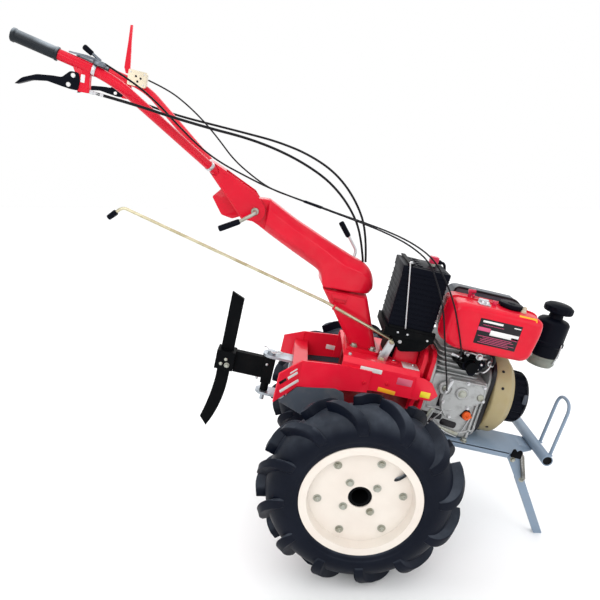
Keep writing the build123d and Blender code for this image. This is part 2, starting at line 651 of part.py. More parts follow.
# ---------------------------------------------------------------- steering column
foot_top = DECK_Z + FOOT_T
with BuildPart() as column:
    # four flat sides that lean back from the foot to the seam
    with BuildSketch(Plane.XY.offset(SEAM_Z)):
        with Locations((COLUMN_X, 0)):
            Rectangle(COLUMN_TOP_L, COLUMN_TOP_W)
    with BuildSketch(Plane.XY.offset(foot_top)):
        with Locations((FOOT_X, 0)):
            Rectangle(FOOT_L, FOOT_W)
    loft(ruled=True)
    corners = column.edges().filter_by(
        lambda edge: abs(edge.position_at(0).Z - edge.position_at(1).Z) > FOOT_T
    )
    fillet(corners, COLUMN_ROUND)
    with BuildSketch(Plane.XY.offset(DECK_Z)):
        with Locations((FOOT_X, 0)):
            RectangleRounded(FOOT_L + 2 * FOOT_EDGE, FOOT_BOLT_DY + 30, 10)
            with GridLocations(FOOT_BOLT_DX, FOOT_BOLT_DY, 2, 2):
                Circle(FOOT_BOLT_R, mode=Mode.SUBTRACT)
    extrude(amount=FOOT_T)
    # latch slot and its strip on the right face, and the ear that guides the shift rod
    near_y = -COLUMN_TOP_W / 2
    rod_run, rod_rise = SHIFT_EYE_X - SHIFT_BEND_X, SHIFT_EYE_Z - SHIFT_BEND_Z
    guide_z = SHIFT_BEND_Z + (GUIDE_X - SHIFT_BEND_X) * rod_rise / rod_run
    with BuildSketch(side_plane(near_y + 8)):
        with Locations((COLUMN_X - 10, 452)):
            Rectangle(38, 12)
    extrude(amount=8 + BITE, mode=Mode.SUBTRACT)
    with BuildSketch(side_plane(near_y + 8)):
        with Locations((COLUMN_X - 14, 466)):
            Rectangle(44, 13)
    extrude(amount=10)
    with BuildSketch(side_plane(near_y + 12)):
        with Locations((GUIDE_X, guide_z)):
            Rectangle(10, 10)
    extrude(amount=near_y + 12 - SHIFT_Y - SHIFT_ROD_R)
    guide = Plane(origin=(GUIDE_X, SHIFT_Y, guide_z), z_dir=(rod_run, 0, rod_rise))
    with BuildSketch(guide.offset(-2.5)):
        Circle(GUIDE_R)
    extrude(amount=5)
    with BuildSketch(guide.offset(-10)):
        Circle(SHIFT_ROD_R + SEAT)
    extrude(amount=20, mode=Mode.SUBTRACT)
    # spindle that the beam turns on
    with BuildSketch(Plane.XY.offset(SEAM_Z)):
        with Locations((COLUMN_X, 0)):
            Circle(SPINDLE_R)
    extrude(amount=SPINDLE_H)
write(column.part, "steering_column")

# ---------------------------------------------------------------- beam that swivels on the column
with BuildPart() as beam:
    beam_low = SEAM_Z - BEAM_BEVEL
    with BuildSketch(side_plane(BEAM_HALF_W - BEAM_BEVEL)):
        with BuildLine():
            Polyline(
                (-74, beam_low), (-214, beam_low), (-221, SEAM_Z + SEAM_GAP), (-231, 507), (-246, 523),
                (-339, 565), (BEAM_END_X, 606), (BEAM_END_X, 697), (-340, 657), (-203, 601), (-142, 578),
                (-106, 569), (-78, 545), (-62, 505), close=True,
            )
        make_face()
    extrude(amount=2 * (BEAM_HALF_W - BEAM_BEVEL))
    for end in (0, -1):
        extrude(beam.faces().sort_by(Axis.Y)[end], amount=BEAM_BEVEL, taper=45)
    with BuildSketch(Plane.XY.offset(SEAM_Z + SEAM_GAP)):
        with Locations((COLUMN_X, 0)):
            Rectangle(2 * COLUMN_TOP_L, 2 * COLUMN_TOP_W)
    extrude(amount=-2 * BEAM_BEVEL, mode=Mode.SUBTRACT)
    # narrow ear that carries the height pivot
    with BuildSketch(side_plane(BEAM_EAR_HALF_W)):
        with BuildLine():
            Line((BEAM_END_X, 606), (PIVOT_X + 8, PIVOT_Z - BEAM_EAR_R))
            ThreePointArc(
                (PIVOT_X + 8, PIVOT_Z - BEAM_EAR_R), (PIVOT_X - BEAM_EAR_R, PIVOT_Z),
                (PIVOT_X + 14, PIVOT_Z + BEAM_EAR_R),
            )
            Polyline((PIVOT_X + 14, PIVOT_Z + BEAM_EAR_R), (BEAM_END_X, 697), (BEAM_END_X, 606))
        make_face()
    extrude(amount=2 * BEAM_EAR_HALF_W)
    with BuildSketch(Plane.XY.offset(SEAM_Z)):
        with Locations((COLUMN_X, 0)):
            Circle(SPINDLE_R + RUNNING)
    extrude(amount=SPINDLE_H + 2 * BITE, mode=Mode.SUBTRACT)
    with BuildSketch(side_plane(BEAM_HALF_W)):
        with Locations((PIVOT_X, PIVOT_Z)):
            Circle(PIVOT_R + RUNNING)
    extrude(amount=2 * BEAM_HALF_W, mode=Mode.SUBTRACT)
write(beam.part, "steering_beam", turned=True)

with BuildPart() as sector:
    # plate with the locking holes, fixed to the beam's ear
    with BuildSketch(side_plane(SECTOR_T / 2)):
        with Locations((PIVOT_X, PIVOT_Z)):
            Circle(SECTOR_R)
        with BuildLine():
            Polyline((-470, 655), (-600, 702), (-620, 660), (-560, 600), (-488, 632), close=True)
        make_face(mode=Mode.INTERSECT)
        with Locations((PIVOT_X, PIVOT_Z)):
            with PolarLocations(SECTOR_R - 17, SECTOR_HOLES, start_angle=169, angular_range=34):
                Circle(SECTOR_HOLE_R, mode=Mode.SUBTRACT)
    extrude(amount=SECTOR_T)
write(sector.part - beam.part, "lock_sector", turned=True)

with BuildPart() as swivel_lever:
    with BuildLine() as path:
        FilletPolyline((-140, 38, 556), (-146, 54, 600), (-186, 60, 664), radius=12)
    with BuildSketch(path.line ^ 0):
        Circle(LOCK_ROD_R)
    sweep()
    with BuildSketch(Plane(origin=path.line @ 1, z_dir=-(path.line % 1))):
        Circle(LOCK_GRIP_R)
    extrude(amount=48)
write(swivel_lever.part - beam.part, "swivel_lock_lever", turned=True)

# ---------------------------------------------------------------- handlebar
NECK_HALF_W = BEAM_EAR_HALF_W + CHEEK_GAP + CHEEK_T


def tube_path(side):
    """Centre line of one handlebar tube, from the neck to the grip's end."""
    return [
        (NECK_X + 18, side * NECK_Y, NECK_Z - 12),
        (BEND_X, side * BEND_Y, BEND_Z),
        (GRIP_END_X, side * GRIP_Y, GRIP_END_Z),
    ]


def handle_tube(side):
    """The tube of one side, bent once behind the control levers."""
    with BuildPart() as piece:
        with BuildLine() as line:
            FilletPolyline(*tube_path(side), radius=BEND_RADIUS)
        with BuildSketch(line.line ^ 0):
            Circle(TUBE_R)
        sweep()
    return piece.part


def grip(side):
    """Rubber sleeve with a collar at each end, closed over the tube's end."""
    start, finish = (Vector(*point) for point in tube_path(side)[:0:-1])
    along = (finish - start).normalized()
    with BuildPart() as piece:
        for offset_l, radius, length in (
            (-GRIP_CAP_T, GRIP_COLLAR_R, GRIP_COLLAR_L), (0, GRIP_R, GRIP_L),
            (GRIP_L - GRIP_COLLAR_L, GRIP_COLLAR_R, GRIP_COLLAR_L),
        ):
            with BuildSketch(Plane(origin=start + along * offset_l, z_dir=along)):
                Circle(radius)
            extrude(amount=length)
        with BuildSketch(Plane(origin=start, z_dir=along)):
            Circle(TUBE_R)
        extrude(amount=GRIP_L + BITE, mode=Mode.SUBTRACT)
    return piece.part


def lever_bracket(side):
    """Bracket under the tube, slotted for the clutch lever."""
    with BuildPart() as piece:
        with BuildSketch(side_plane(side * LEVER_Y + BRACKET_W / 2)):
            with BuildLine():
                Polyline((-930, 945), (-886, 937), (-885, 866), (-916, 862), close=True)
            make_face()
        extrude(amount=BRACKET_W)
        with BuildSketch(side_plane(side * LEVER_Y + LEVER_T / 2 + SEAT)):
            with BuildLine():
                Polyline((-940, 908), (-908, 908), (-908, 850), (-940, 850), close=True)
            make_face()
        extrude(amount=LEVER_T + 2 * SEAT, mode=Mode.SUBTRACT)
    return piece.part - handle_tube(side)


def clutch_lever(side):
    """Flat lever that hooks back under the grip."""
    with BuildPart() as piece:
        with BuildSketch(side_plane(side * LEVER_Y + LEVER_T / 2)):
            with BuildLine():
                ThreePointArc((-1041, 852), (-1006, 879), (-960, 885))
                Polyline(
                    (-960, 885), (-945, 884), (-928, 903), (-912, 905), (-908 - SEAT, 868), (-947, 869),
                )
                ThreePointArc((-947, 869), (-985, 876), (-1041, 852))
            make_face()
        extrude(amount=LEVER_T)
    return piece.part


tubes = {side: handle_tube(side) for side, _ in SIDES}
brackets = {side: lever_bracket(side) for side, _ in SIDES}
write(tubes[-1] + tubes[1], "handle_tubes", turned=True)
write(grip(-1) + grip(1), "grips", turned=True)
write(brackets[-1] + brackets[1], "lever_brackets", turned=True)
write(clutch_lever(-1) + clutch_lever(1), "clutch_levers", turned=True)

with BuildPart() as neck:
    # two cheeks beside the beam's ear, joined behind the lock sector, with the pivot pin
    with BuildSketch(side_plane(NECK_HALF_W)):
        with BuildLine():
            Polyline((NECK_X, 736), (NECK_X, 766), (-560, 748), (PIVOT_X - 6, PIVOT_Z + CHEEK_R + 22))
            Line((PIVOT_X - 6, PIVOT_Z + CHEEK_R + 22), (PIVOT_X + 20, PIVOT_Z + CHEEK_R - 6))
            ThreePointArc(
                (PIVOT_X + 20, PIVOT_Z + CHEEK_R - 6), (PIVOT_X + CHEEK_R, PIVOT_Z),
                (PIVOT_X, PIVOT_Z - CHEEK_R),
            )
            Polyline((PIVOT_X, PIVOT_Z - CHEEK_R), (PIVOT_X - 34, PIVOT_Z - CHEEK_R), (NECK_X, 736))
        make_face()
    extrude(amount=2 * NECK_HALF_W)
    rims = neck.faces().sort_by(Axis.Y)[0].edges() + neck.faces().sort_by(Axis.Y)[-1].edges()
    chamfer([edge for edge in rims if edge.geom_type == GeomType.LINE and edge.length > 50], NECK_BEVEL)
    for radius, half_w, mode in (
        (SECTOR_R + CHEEK_GAP, BEAM_EAR_HALF_W + CHEEK_GAP, Mode.SUBTRACT), (PIVOT_R, NECK_HALF_W, Mode.ADD),
    ):
        with BuildSketch(side_plane(half_w)):
            with Locations((PIVOT_X, PIVOT_Z)):
                Circle(radius)
        extrude(amount=2 * half_w, mode=mode)
write(neck.part - tubes[-1] - tubes[1], "handlebar_neck", turned=True)

with BuildPart() as lock_lever:
    with BuildLine() as path:
        FilletPolyline(
            (PIVOT_X, -NECK_HALF_W, PIVOT_Z), (PIVOT_X, -NECK_HALF_W - 36, PIVOT_Z),
            (-500, -NECK_HALF_W - 40, 627),
            radius=8,
        )
    with BuildSketch(path.line ^ 0):
        Circle(LOCK_ROD_R)
    sweep()
    with BuildSketch(Plane(origin=path.line @ 1, z_dir=(-55, 0, -34))):
        Circle(LOCK_GRIP_R)
    extrude(amount=LOCK_GRIP_L)
    with BuildSketch(side_plane(-NECK_HALF_W)):
        with Locations((PIVOT_X, PIVOT_Z)):
            Circle(2 * PIVOT_R)
    extrude(amount=PIVOT_R)
write(lock_lever.part, "height_lock_lever", turned=True)

with BuildPart() as throttle:
    # round base on the tube, flat arm to the rear, and the thumb piece
    with BuildSketch(Plane(origin=(THROTTLE_X, -LEVER_Y, 930), z_dir=(0, 0, 1))):
        Circle(THROTTLE_R)
    extrude(amount=THROTTLE_H)
    with BuildSketch(side_plane(-LEVER_Y + 5)):
        with BuildLine():
            Polyline((-936, 944), (-936, 948), (THROTTLE_X, 941), (THROTTLE_X, 936), close=True)
        make_face()
    extrude(amount=10)
    with BuildSketch(Plane(origin=(-882, -LEVER_Y, 940), z_dir=(-28, 0, 20))):
        Circle(5)
    extrude(amount=34)
write(throttle.part - tubes[-1] - brackets[-1], "throttle_lever", turned=True)

with BuildPart() as control_box:
    with BuildSketch(side_plane(BOX_Y + BOX_W / 2)):
        with Locations((BOX_X, BOX_Z)):
            RectangleRounded(BOX_L, BOX_H, 4)
    extrude(amount=BOX_W)
box = control_box.part - tubes[1] - brackets[1]
write(box, "control_box", turned=True)

with BuildPart() as stop_lever:
    # upright lever on the box's rear end
    with BuildSketch(side_plane(BOX_Y + STOP_LEVER_T / 2)):
        with BuildLine():
            Polyline(
                (-908, 1072), (-901, 1073), (-899, 1030), (-893, 958), (-886, 940), (-904, 940), (-910, 955),
                (-908, 1030), close=True,
            )
        make_face()
    extrude(amount=STOP_LEVER_T)
write(stop_lever.part - box, "stop_lever", turned=True)

# ---------------------------------------------------------------- gear shift linkage
with BuildPart() as shift_rod:
    with BuildLine() as path:
        FilletPolyline(
            (SHIFT_HOOK_X - 27, SHIFT_Y, SHIFT_HOOK_Z - 29), (SHIFT_HOOK_X, SHIFT_Y, SHIFT_HOOK_Z),
            (SHIFT_BEND_X, SHIFT_Y, SHIFT_BEND_Z), (SHIFT_EYE_X, SHIFT_Y, SHIFT_EYE_Z), radius=[8, 60],
        )
    with BuildSketch(path.line ^ 0):
        Circle(SHIFT_ROD_R)
    sweep()
    with BuildSketch(Plane(origin=path.line @ 0 - Vector(9, 0, 10), z_dir=path.line % 0)):
        Circle(SHIFT_KNOB_R)
    extrude(amount=30)
write(shift_rod.part, "shift_rod")

with BuildPart() as shift_arm:
    # slotted link from the rod's end down to a pivot block on the deck
    eye_x, eye_z = SHIFT_EYE_X, SHIFT_EYE_Z
    foot_x, foot_z = SHIFT_FOOT_X, DECK_Z + SHIFT_FOOT_H / 2
    with BuildSketch(side_plane(SHIFT_Y - SHIFT_ROD_R)):
        with Locations(((eye_x + foot_x) / 2, (eye_z + foot_z) / 2)):
            SlotCenterToCenter(
                ((eye_x - foot_x) ** 2 + (eye_z - foot_z) ** 2) ** 0.5, SHIFT_ARM_W,
                rotation=Vector(eye_x - foot_x, eye_z - foot_z).get_signed_angle(Vector(-1, 0)) * -1,
            )
    extrude(amount=SHIFT_ARM_T)
    with BuildSketch(Plane.XY.offset(DECK_Z)):
        with Locations((foot_x, SHIFT_Y - SHIFT_ROD_R + SHIFT_FOOT_W / 2)):
            Rectangle(SHIFT_FOOT_L, SHIFT_FOOT_W)
    extrude(amount=SHIFT_FOOT_H)
write(shift_arm.part - shift_rod.part, "shift_arm")

# ---------------------------------------------------------------- engine
with BuildPart() as engine:
    with BuildSketch(Plane.YZ.offset(BELL_X1)):
        with BuildLine():
            Polyline(
                (-ENGINE_HALF_W, BASE_Z), (ENGINE_HALF_W, BASE_Z),
                (ENGINE_HALF_W, CRANKCASE_TOP - CRANKCASE_BEVEL),
                (ENGINE_HALF_W - CRANKCASE_BEVEL, CRANKCASE_TOP),
                (CRANKCASE_BEVEL - ENGINE_HALF_W, CRANKCASE_TOP),
                (-ENGINE_HALF_W, CRANKCASE_TOP - CRANKCASE_BEVEL), close=True,
            )
        make_face()
    extrude(amount=ENGINE_X1 - BELL_X1)
    # gear cover bolted to the right side, with its bearing boss
    with BuildSketch(side_plane(-ENGINE_HALF_W)):
        with BuildLine():
            Polyline(
                (212, 236), (218, 306), (330, 314), (333, 298), (320, 218), (280, 182), (258, 180),
                (232, 206),
                close=True,
            )
        make_face()
        with Locations((0, CRANKCASE_TOP - CRANKCASE_BEVEL)):
            Rectangle(999, 99, align=(Align.CENTER, Align.MIN), mode=Mode.SUBTRACT)
    extrude(amount=COVER_T)
    with BuildSketch(side_plane(-ENGINE_HALF_W)):
        with Locations((212, 272)):
            Circle(COVER_BOSS_R)
    extrude(amount=2 * COVER_T)
write(engine.part, "engine_block")

with BuildPart() as cylinder:
    with BuildSketch(Plane.XY.offset(CRANKCASE_TOP)):
        with Locations((CYLINDER_X, 0)):
            RectangleRounded(CYLINDER_L, CYLINDER_W, 16)
    extrude(amount=TANK_Z0 - CRANKCASE_TOP)
    for k in range(FINS):
        with BuildSketch(Plane.XY.offset(CRANKCASE_TOP + FIN_START + k * FIN_PITCH)):
            with Locations((CYLINDER_X, 0)):
                RectangleRounded(CYLINDER_L + 2 * FIN_OUT, CYLINDER_W + 2 * FIN_OUT, 20)
        extrude(amount=FIN_T)
write(cylinder.part, "cylinder_head")

with BuildPart() as pump:
    # body against the cylinder, plunger boss towards the side, delivery stub, and the stop cable's plate
    for x0, x1, y0, y1, z0, z1 in (
        (PUMP_X - 24, PUMP_X + 24, -128, -CYLINDER_W / 2, PUMP_Z - 20, PUMP_Z + 20),
        (PUMP_X - 56, PUMP_X - 24, -142, -112, PUMP_Z + 4, PUMP_Z + 8),
    ):
        with BuildSketch(Plane.XY.offset(z0)):
            with Locations(((x0 + x1) / 2, (y0 + y1) / 2)):
                Rectangle(x1 - x0, y1 - y0)
        extrude(amount=z1 - z0)
    with BuildSketch(side_plane(-128)):
        with Locations((PUMP_X, PUMP_Z - 2)):
            Circle(PUMP_R)
    extrude(amount=22)
    with BuildSketch(Plane.XY.offset(PUMP_Z + 20)):
        with Locations((PUMP_X, -112)):
            Circle(12)
    extrude(amount=14)
write(pump.part - cylinder.part, "injection_pump")

with BuildPart() as drum:
    with BuildSketch(Plane.YZ.offset(ENGINE_X1)):
        with Locations((0, CRANK_Z)):
            Circle(DRUM_FLANGE_R)
    extrude(amount=DRUM_FLANGE_T)
    with BuildSketch(Plane.YZ.offset(ENGINE_X1)):
        with Locations((0, CRANK_Z)):
            Circle(DRUM_R)
    extrude(amount=DRUM_X1 - ENGINE_X1)
    chamfer(drum.faces().sort_by(Axis.X)[-1].edges(), DRUM_BEVEL)
write(drum.part, "fan_housing")

with BuildPart() as recoil:
    with BuildSketch(Plane.YZ.offset(DRUM_X1)):
        with Locations((0, CRANK_Z)):
            Circle(RECOIL_R)
    extrude(amount=RECOIL_X1 - DRUM_X1)
    chamfer(recoil.faces().sort_by(Axis.X)[-1].edges(), RECOIL_BEVEL)
    with BuildSketch(Plane.YZ.offset(RECOIL_X1 - RECOIL_WALL)):
        with Locations((RECOIL_SLOT_Y, CRANK_Z)):
            with GridLocations(0, RECOIL_SLOT_PITCH, 1, RECOIL_SLOTS):
                Rectangle(RECOIL_SLOT_L, RECOIL_SLOT_W)
    extrude(amount=RECOIL_WALL + BITE, mode=Mode.SUBTRACT)
write(recoil.part, "recoil_starter")

with BuildPart() as tank:
    # bevelled flat sides, joined by the rounded edge of the outline
    with BuildSketch(side_plane(TANK_FAR_Y - TANK_BEVEL)):
        with BuildLine():
            FilletPolyline(
                (146, TANK_Z1), (TANK_X1 - 6, TANK_Z1), (TANK_X1, 522), (TANK_X1 - 10, TANK_Z0 + 4),
                (168, TANK_Z0), (TANK_X0, 442), close=True, radius=TANK_CORNER,
            )
        make_face()
    extrude(amount=TANK_FAR_Y - TANK_NEAR_Y - 2 * TANK_BEVEL)
    for end in (0, -1):
        extrude(tank.faces().sort_by(Axis.Y)[end], amount=TANK_BEVEL, taper=45)
write(tank.part, "fuel_tank")

with BuildPart() as tank_cap:
    for z, radius, height in ((TANK_Z1, CAP_NECK_R, CAP_NECK_H), (TANK_Z1 + CAP_NECK_H, CAP_R, CAP_H)):
        with BuildSketch(Plane.XY.offset(z)):
            with Locations((CAP_X, CAP_Y)):
                Circle(radius)
        extrude(amount=height)
write(tank_cap.part, "fuel_cap")

with BuildPart() as muffler:
    with BuildSketch(side_plane(MUFFLER_FAR_Y)):
        with BuildLine():
            FilletPolyline(
                (MUFFLER_X0, TANK_Z0), (MUFFLER_X0, MUFFLER_TOP_Z), (MUFFLER_X1 - 34, MUFFLER_TOP_Z),
                (MUFFLER_X1, MUFFLER_TOP_Z - 26), (MUFFLER_X1, TANK_Z0), close=True, radius=14,
            )
        make_face()
    extrude(amount=MUFFLER_FAR_Y - TANK_FAR_Y - MUFFLER_GAP)
    with BuildSketch(Plane.YZ.offset(MUFFLER_X0 - BITE)):
        with BuildLine():
            Polyline(
                (MUFFLER_FLAT_Y, MUFFLER_TOP_Z + BITE), (MUFFLER_FLAT_Y, MUFFLER_TOP_Z),
                (MUFFLER_FAR_Y, MUFFLER_TOP_Z - MUFFLER_FALL),
                (MUFFLER_FAR_Y + BITE, MUFFLER_TOP_Z - MUFFLER_FALL),
                (MUFFLER_FAR_Y + BITE, MUFFLER_TOP_Z + BITE), close=True,
            )
        make_face()
    extrude(amount=MUFFLER_X1 - MUFFLER_X0 + 2 * BITE, mode=Mode.SUBTRACT)
    # louvres on the outer side
    with BuildSketch(side_plane(MUFFLER_FAR_Y)):
        far_mid_z = (MUFFLER_TOP_Z - MUFFLER_FALL + TANK_Z0) / 2
        with Locations(((MUFFLER_X0 + MUFFLER_X1) / 2, far_mid_z)):
            with GridLocations(MUFFLER_SLOT_PITCH, 0, MUFFLER_SLOTS, 1):
                Rectangle(MUFFLER_SLOT_W, MUFFLER_SLOT_H)
    extrude(amount=MUFFLER_SLOT_DEEP, mode=Mode.SUBTRACT)
write(muffler.part, "muffler_cover")

with BuildPart() as cleaner:
    # oil-bath air cleaner: bowl, body, neck and mushroom cap
    with BuildSketch(Plane.XZ):
        with BuildLine():
            low, top = CLEANER_LOW_Z, CLEANER_TOP_Z
            Polyline(
                (0, low), (CLEANER_R - 10, low), (CLEANER_R - 4, low + 10), (CLEANER_R - 4, low + 34),
                (CLEANER_R, low + 38), (CLEANER_R, low + 72), (CLEANER_R + 3, low + 74),
                (CLEANER_R + 3, low + 84), (CLEANER_R, low + 86), (CLEANER_R, low + 146),
                (CLEANER_R - 8, low + 154), (22, low + 158), (20, low + 174), (CLEANER_CAP_R, low + 177),
                (CLEANER_CAP_R, top - 12), (CLEANER_CAP_R - 12, top - 2), (0, top), close=True,
            )
        make_face()
    revolve(axis=Axis.Z)
cleaner_part = Location((CLEANER_X, CLEANER_Y, 0)) * cleaner.part
write(cleaner_part, "air_cleaner")

with BuildPart() as inlet:
    inlet_x0 = CYLINDER_X + CYLINDER_L / 2
    with BuildSketch(Plane.YZ.offset(inlet_x0)):
        with Locations((CLEANER_Y, 407)):
            RectangleRounded(2 * INLET_H, INLET_H, 8)
    extrude(amount=CLEANER_X - inlet_x0)
write(inlet.part - cleaner_part - cylinder.part, "intake_elbow")

# ---------------------------------------------------------------- battery
tray_z = BATTERY_Z0 - TRAY_H
battery_l, battery_w = BATTERY_X1 - BATTERY_X0, BATTERY_Y1 - BATTERY_Y0
battery_x, battery_y = (BATTERY_X0 + BATTERY_X1) / 2, (BATTERY_Y0 + BATTERY_Y1) / 2
with BuildPart() as tray:
    with BuildSketch(Plane.XY.offset(tray_z)):
        with Locations((battery_x, battery_y)):
            Rectangle(battery_l + 2 * TRAY_EDGE, battery_w + 2 * TRAY_EDGE)
    extrude(amount=TRAY_H)
    with BuildSketch(Plane.XY.offset(DECK_Z)):
        with Locations((battery_x + 8, 10)):
            Rectangle(PEDESTAL_L, PEDESTAL_W)
    extrude(amount=tray_z - DECK_Z)
write(tray.part, "battery_tray")

with BuildPart() as battery:
    with BuildSketch(Plane.XY.offset(BATTERY_Z0)):
        with Locations((battery_x, battery_y)):
            Rectangle(battery_l, battery_w)
    extrude(amount=BATTERY_Z1 - BATTERY_Z0)
    chamfer(battery.edges().filter_by(Axis.Z), BATTERY_CORNER)
    # grooves between the case's ribs, on both long sides, and the parting line of the lid
    rib_pitch = (BATTERY_Z1 - LID_H - BATTERY_Z0) / BATTERY_RIBS
    for k in range(BATTERY_RIBS):
        with BuildSketch(Plane.XY.offset(BATTERY_Z0 + (k + 0.7) * rib_pitch)):
            with Locations((battery_x, BATTERY_Y0), (battery_x, BATTERY_Y1)):
                Rectangle(battery_l - 2 * RIB_EDGE, 2 * RIB_DEPTH)
        extrude(amount=rib_pitch / 4, mode=Mode.SUBTRACT)
    for x, y, height in POSTS:
        with BuildSketch(Plane.XY.offset(BATTERY_Z1)):
            with Locations((x, y)):
                Circle(POST_R)
        extrude(amount=height)
write(battery.part, "battery")

# ---------------------------------------------------------------- front frame, bumper and stand
ear_y = STAND_Y - STAND_T / 2 - EAR_GAP - EAR_T
with BuildPart() as base:
    with BuildSketch(Plane.XY.offset(BASE_Z - BASE_T)):
        with BuildLine():
            Polyline(
                (BASE_X0, -BASE_HALF_W), (BASE_X1, -BASE_HALF_W), (BAR_X, TONGUE_CORNER_Y),
                (BAR_X, TONGUE_FAR_Y), (TONGUE_X, TONGUE_FAR_Y), (TONGUE_X, BASE_HALF_W),
                (BASE_X0, BASE_HALF_W), close=True,
            )
        make_face()
        # tab for the stand's spring
        with Locations((SPRING_TOP[0], SPRING_Y + 14)):
            Rectangle(16, 44)
    extrude(amount=BASE_T)
    # turned-down edges, short of the stand
    with BuildSketch(Plane.XY.offset(BASE_Z - BASE_T)):
        lip_x = BASE_X0 + BASE_LIP_L / 2
        with Locations((lip_x, BASE_HALF_W - BASE_T / 2), (lip_x, BASE_T / 2 - BASE_HALF_W)):
            Rectangle(BASE_LIP_L, BASE_T)
    extrude(amount=-BASE_LIP)
    with BuildSketch(side_plane(BASE_HALF_W)):
        with Locations((BAR_X, BAR_Z)):
            Circle(BAR_R)
    extrude(amount=2 * BASE_HALF_W, mode=Mode.SUBTRACT)
    # ears that hold the stand's pin
    for y in (ear_y + EAR_T, STAND_Y + STAND_T / 2 + EAR_GAP + EAR_T):
        with BuildSketch(side_plane(y)):
            with Locations((STAND_PIVOT_X, STAND_PIVOT_Z)):
                Circle(EAR_R)
            with Locations((STAND_PIVOT_X, (STAND_PIVOT_Z + BASE_Z - BASE_T) / 2)):
                Rectangle(2 * EAR_R, BASE_Z - BASE_T - STAND_PIVOT_Z)
            with Locations((STAND_PIVOT_X, STAND_PIVOT_Z)):
                Circle(STAND_PIN_R + RUNNING, mode=Mode.SUBTRACT)
        extrude(amount=EAR_T)
write(base.part, "engine_base")

with BuildPart() as bumper:
    with BuildSketch(side_plane(BAR_Y1)):
        with Locations((BAR_X, BAR_Z)):
            Circle(BAR_R)
            Circle(BAR_R - BAR_WALL, mode=Mode.SUBTRACT)
    extrude(amount=BAR_Y1 - BAR_Y0)
write(bumper.part, "bumper_bar")

with BuildPart() as loop:
    with BuildLine() as path:
        FilletPolyline(
            (BAR_X + 16, LOOP_Y0, BAR_Z + 6), (BAR_X + 18, LOOP_Y0, LOOP_TOP_Z),
            (BAR_X + 18, LOOP_Y1, LOOP_TOP_Z), (BAR_X + 16, LOOP_Y1, BAR_Z + 6), radius=36,
        )
    with BuildSketch(path.line ^ 0):
        Circle(LOOP_R)
    sweep()
    with BuildSketch(side_plane(BAR_Y1)):
        with Locations((BAR_X, BAR_Z)):
            Circle(BAR_R)
    extrude(amount=BAR_Y1 - BAR_Y0, mode=Mode.SUBTRACT)
write(loop.part, "bumper_loop")

with BuildPart() as stand:
    # tapered leg with a turned edge, its pivot pin, and the pin for the spring
    foot_x0, foot_x1 = STAND_FOOT_X - STAND_FOOT_W / 2, STAND_FOOT_X + STAND_FOOT_W / 2
    edge = [(516, 27), (foot_x0, floor_z(foot_x0))]
    with BuildSketch(side_plane(STAND_Y + STAND_T / 2)):
        with BuildLine():
            Polyline(
                (STAND_PIVOT_X - 14, STAND_PIVOT_Z - 3), *edge, (foot_x1, floor_z(foot_x1)), (548, 25),
                (STAND_PIVOT_X + 13, STAND_PIVOT_Z + 6), close=True,
            )
        make_face()
        with Locations((STAND_PIVOT_X, STAND_PIVOT_Z)):
            Circle(EAR_R + BITE)
    extrude(amount=STAND_T)
    with BuildSketch(side_plane(STAND_Y + STAND_T / 2 + STAND_LIP)):
        with BuildLine():
            Polyline(*edge, (edge[1][0] + STAND_T, floor_z(edge[1][0] + STAND_T)),
                (edge[0][0] + STAND_T, edge[0][1]),
                     close=True)
        make_face()
    extrude(amount=STAND_LIP + STAND_T)
    pin_out = EAR_GAP + EAR_T + 3
    for x, z, radius, y0, y1 in (
        (STAND_PIVOT_X, STAND_PIVOT_Z, STAND_PIN_R, STAND_Y + STAND_T / 2 + pin_out, ear_y - 3),
        (SPRING_END[0] + 2, SPRING_END[1] - 4, SPRING_HOOK_R + 1, STAND_Y, SPRING_Y - SPRING_R - 3),
    ):
        with BuildSketch(side_plane(y0)):
            with Locations((x, z)):
                Circle(radius)
        extrude(amount=y0 - y1)
write(stand.part, "front_stand")

with BuildPart() as spring:
    # the closed coils as one round bar
    start = Vector(SPRING_TOP[0], SPRING_Y, SPRING_TOP[1])
    finish = Vector(SPRING_END[0], SPRING_Y, SPRING_END[1])
    with BuildSketch(Plane(origin=start, z_dir=finish - start)):
        Circle(SPRING_R)
    extrude(amount=(finish - start).length)
write(spring.part - base.part - stand.part, "stand_spring")


# ---------------------------------------------------------------- control cables
def cable(route, radius):
    """A cable with flat sides along its route. Every bend is an arc as wide as its runs allow."""
    runs = [Vector(*after) - Vector(*before) for before, after in zip(route, route[1:])]
    bends = []
    for before, after in zip(runs, runs[1:]):
        half_turn = radians(before.get_angle(after)) / 2
        bends.append(BEND_SHARE * min(before.length, after.length) / tan(half_turn))
    with BuildPart() as piece:
        with BuildLine() as line:
            FilletPolyline(*route, radius=bends)
        with BuildSketch(line.line ^ 0):
            RegularPolygon(radius, CABLE_SIDES)
        sweep()
    return piece.part


stop_cable = cable(STOP_CABLE, STOP_CABLE_R) - TURN * box - pump.part
throttle_cable = cable(THROTTLE_CABLE, STOP_CABLE_R) - TURN * throttle.part - engine.part
write(stop_cable + throttle_cable, "control_cables")
turned_beam = TURN * beam.part
right_cable = cable(RIGHT_CLUTCH_CABLE, CLUTCH_CABLE_R) - TURN * brackets[-1] - turned_beam
left_cable = cable(LEFT_CLUTCH_CABLE, CLUTCH_CABLE_R) - TURN * brackets[1] - turned_beam
write(right_cable + left_cable, "clutch_cables")
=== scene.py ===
# %% [markdown]
# # A walking tractor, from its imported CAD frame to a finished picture
#
# The frame holds every rigid piece of the machine as a fixed mesh, each riding on one of six
# bodies: the machine itself, two wheels, the steering beam, the handlebar and the front stand.
# This script never moves them. It dresses them in procedural finishes, and replaces those whose
# real surface is richer than the CAD solid, such as the lugged tyres, the pressed tank and the
# control cables. Small hardware that the CAD leaves out, such as bolts and labels, is added.

import json
import math

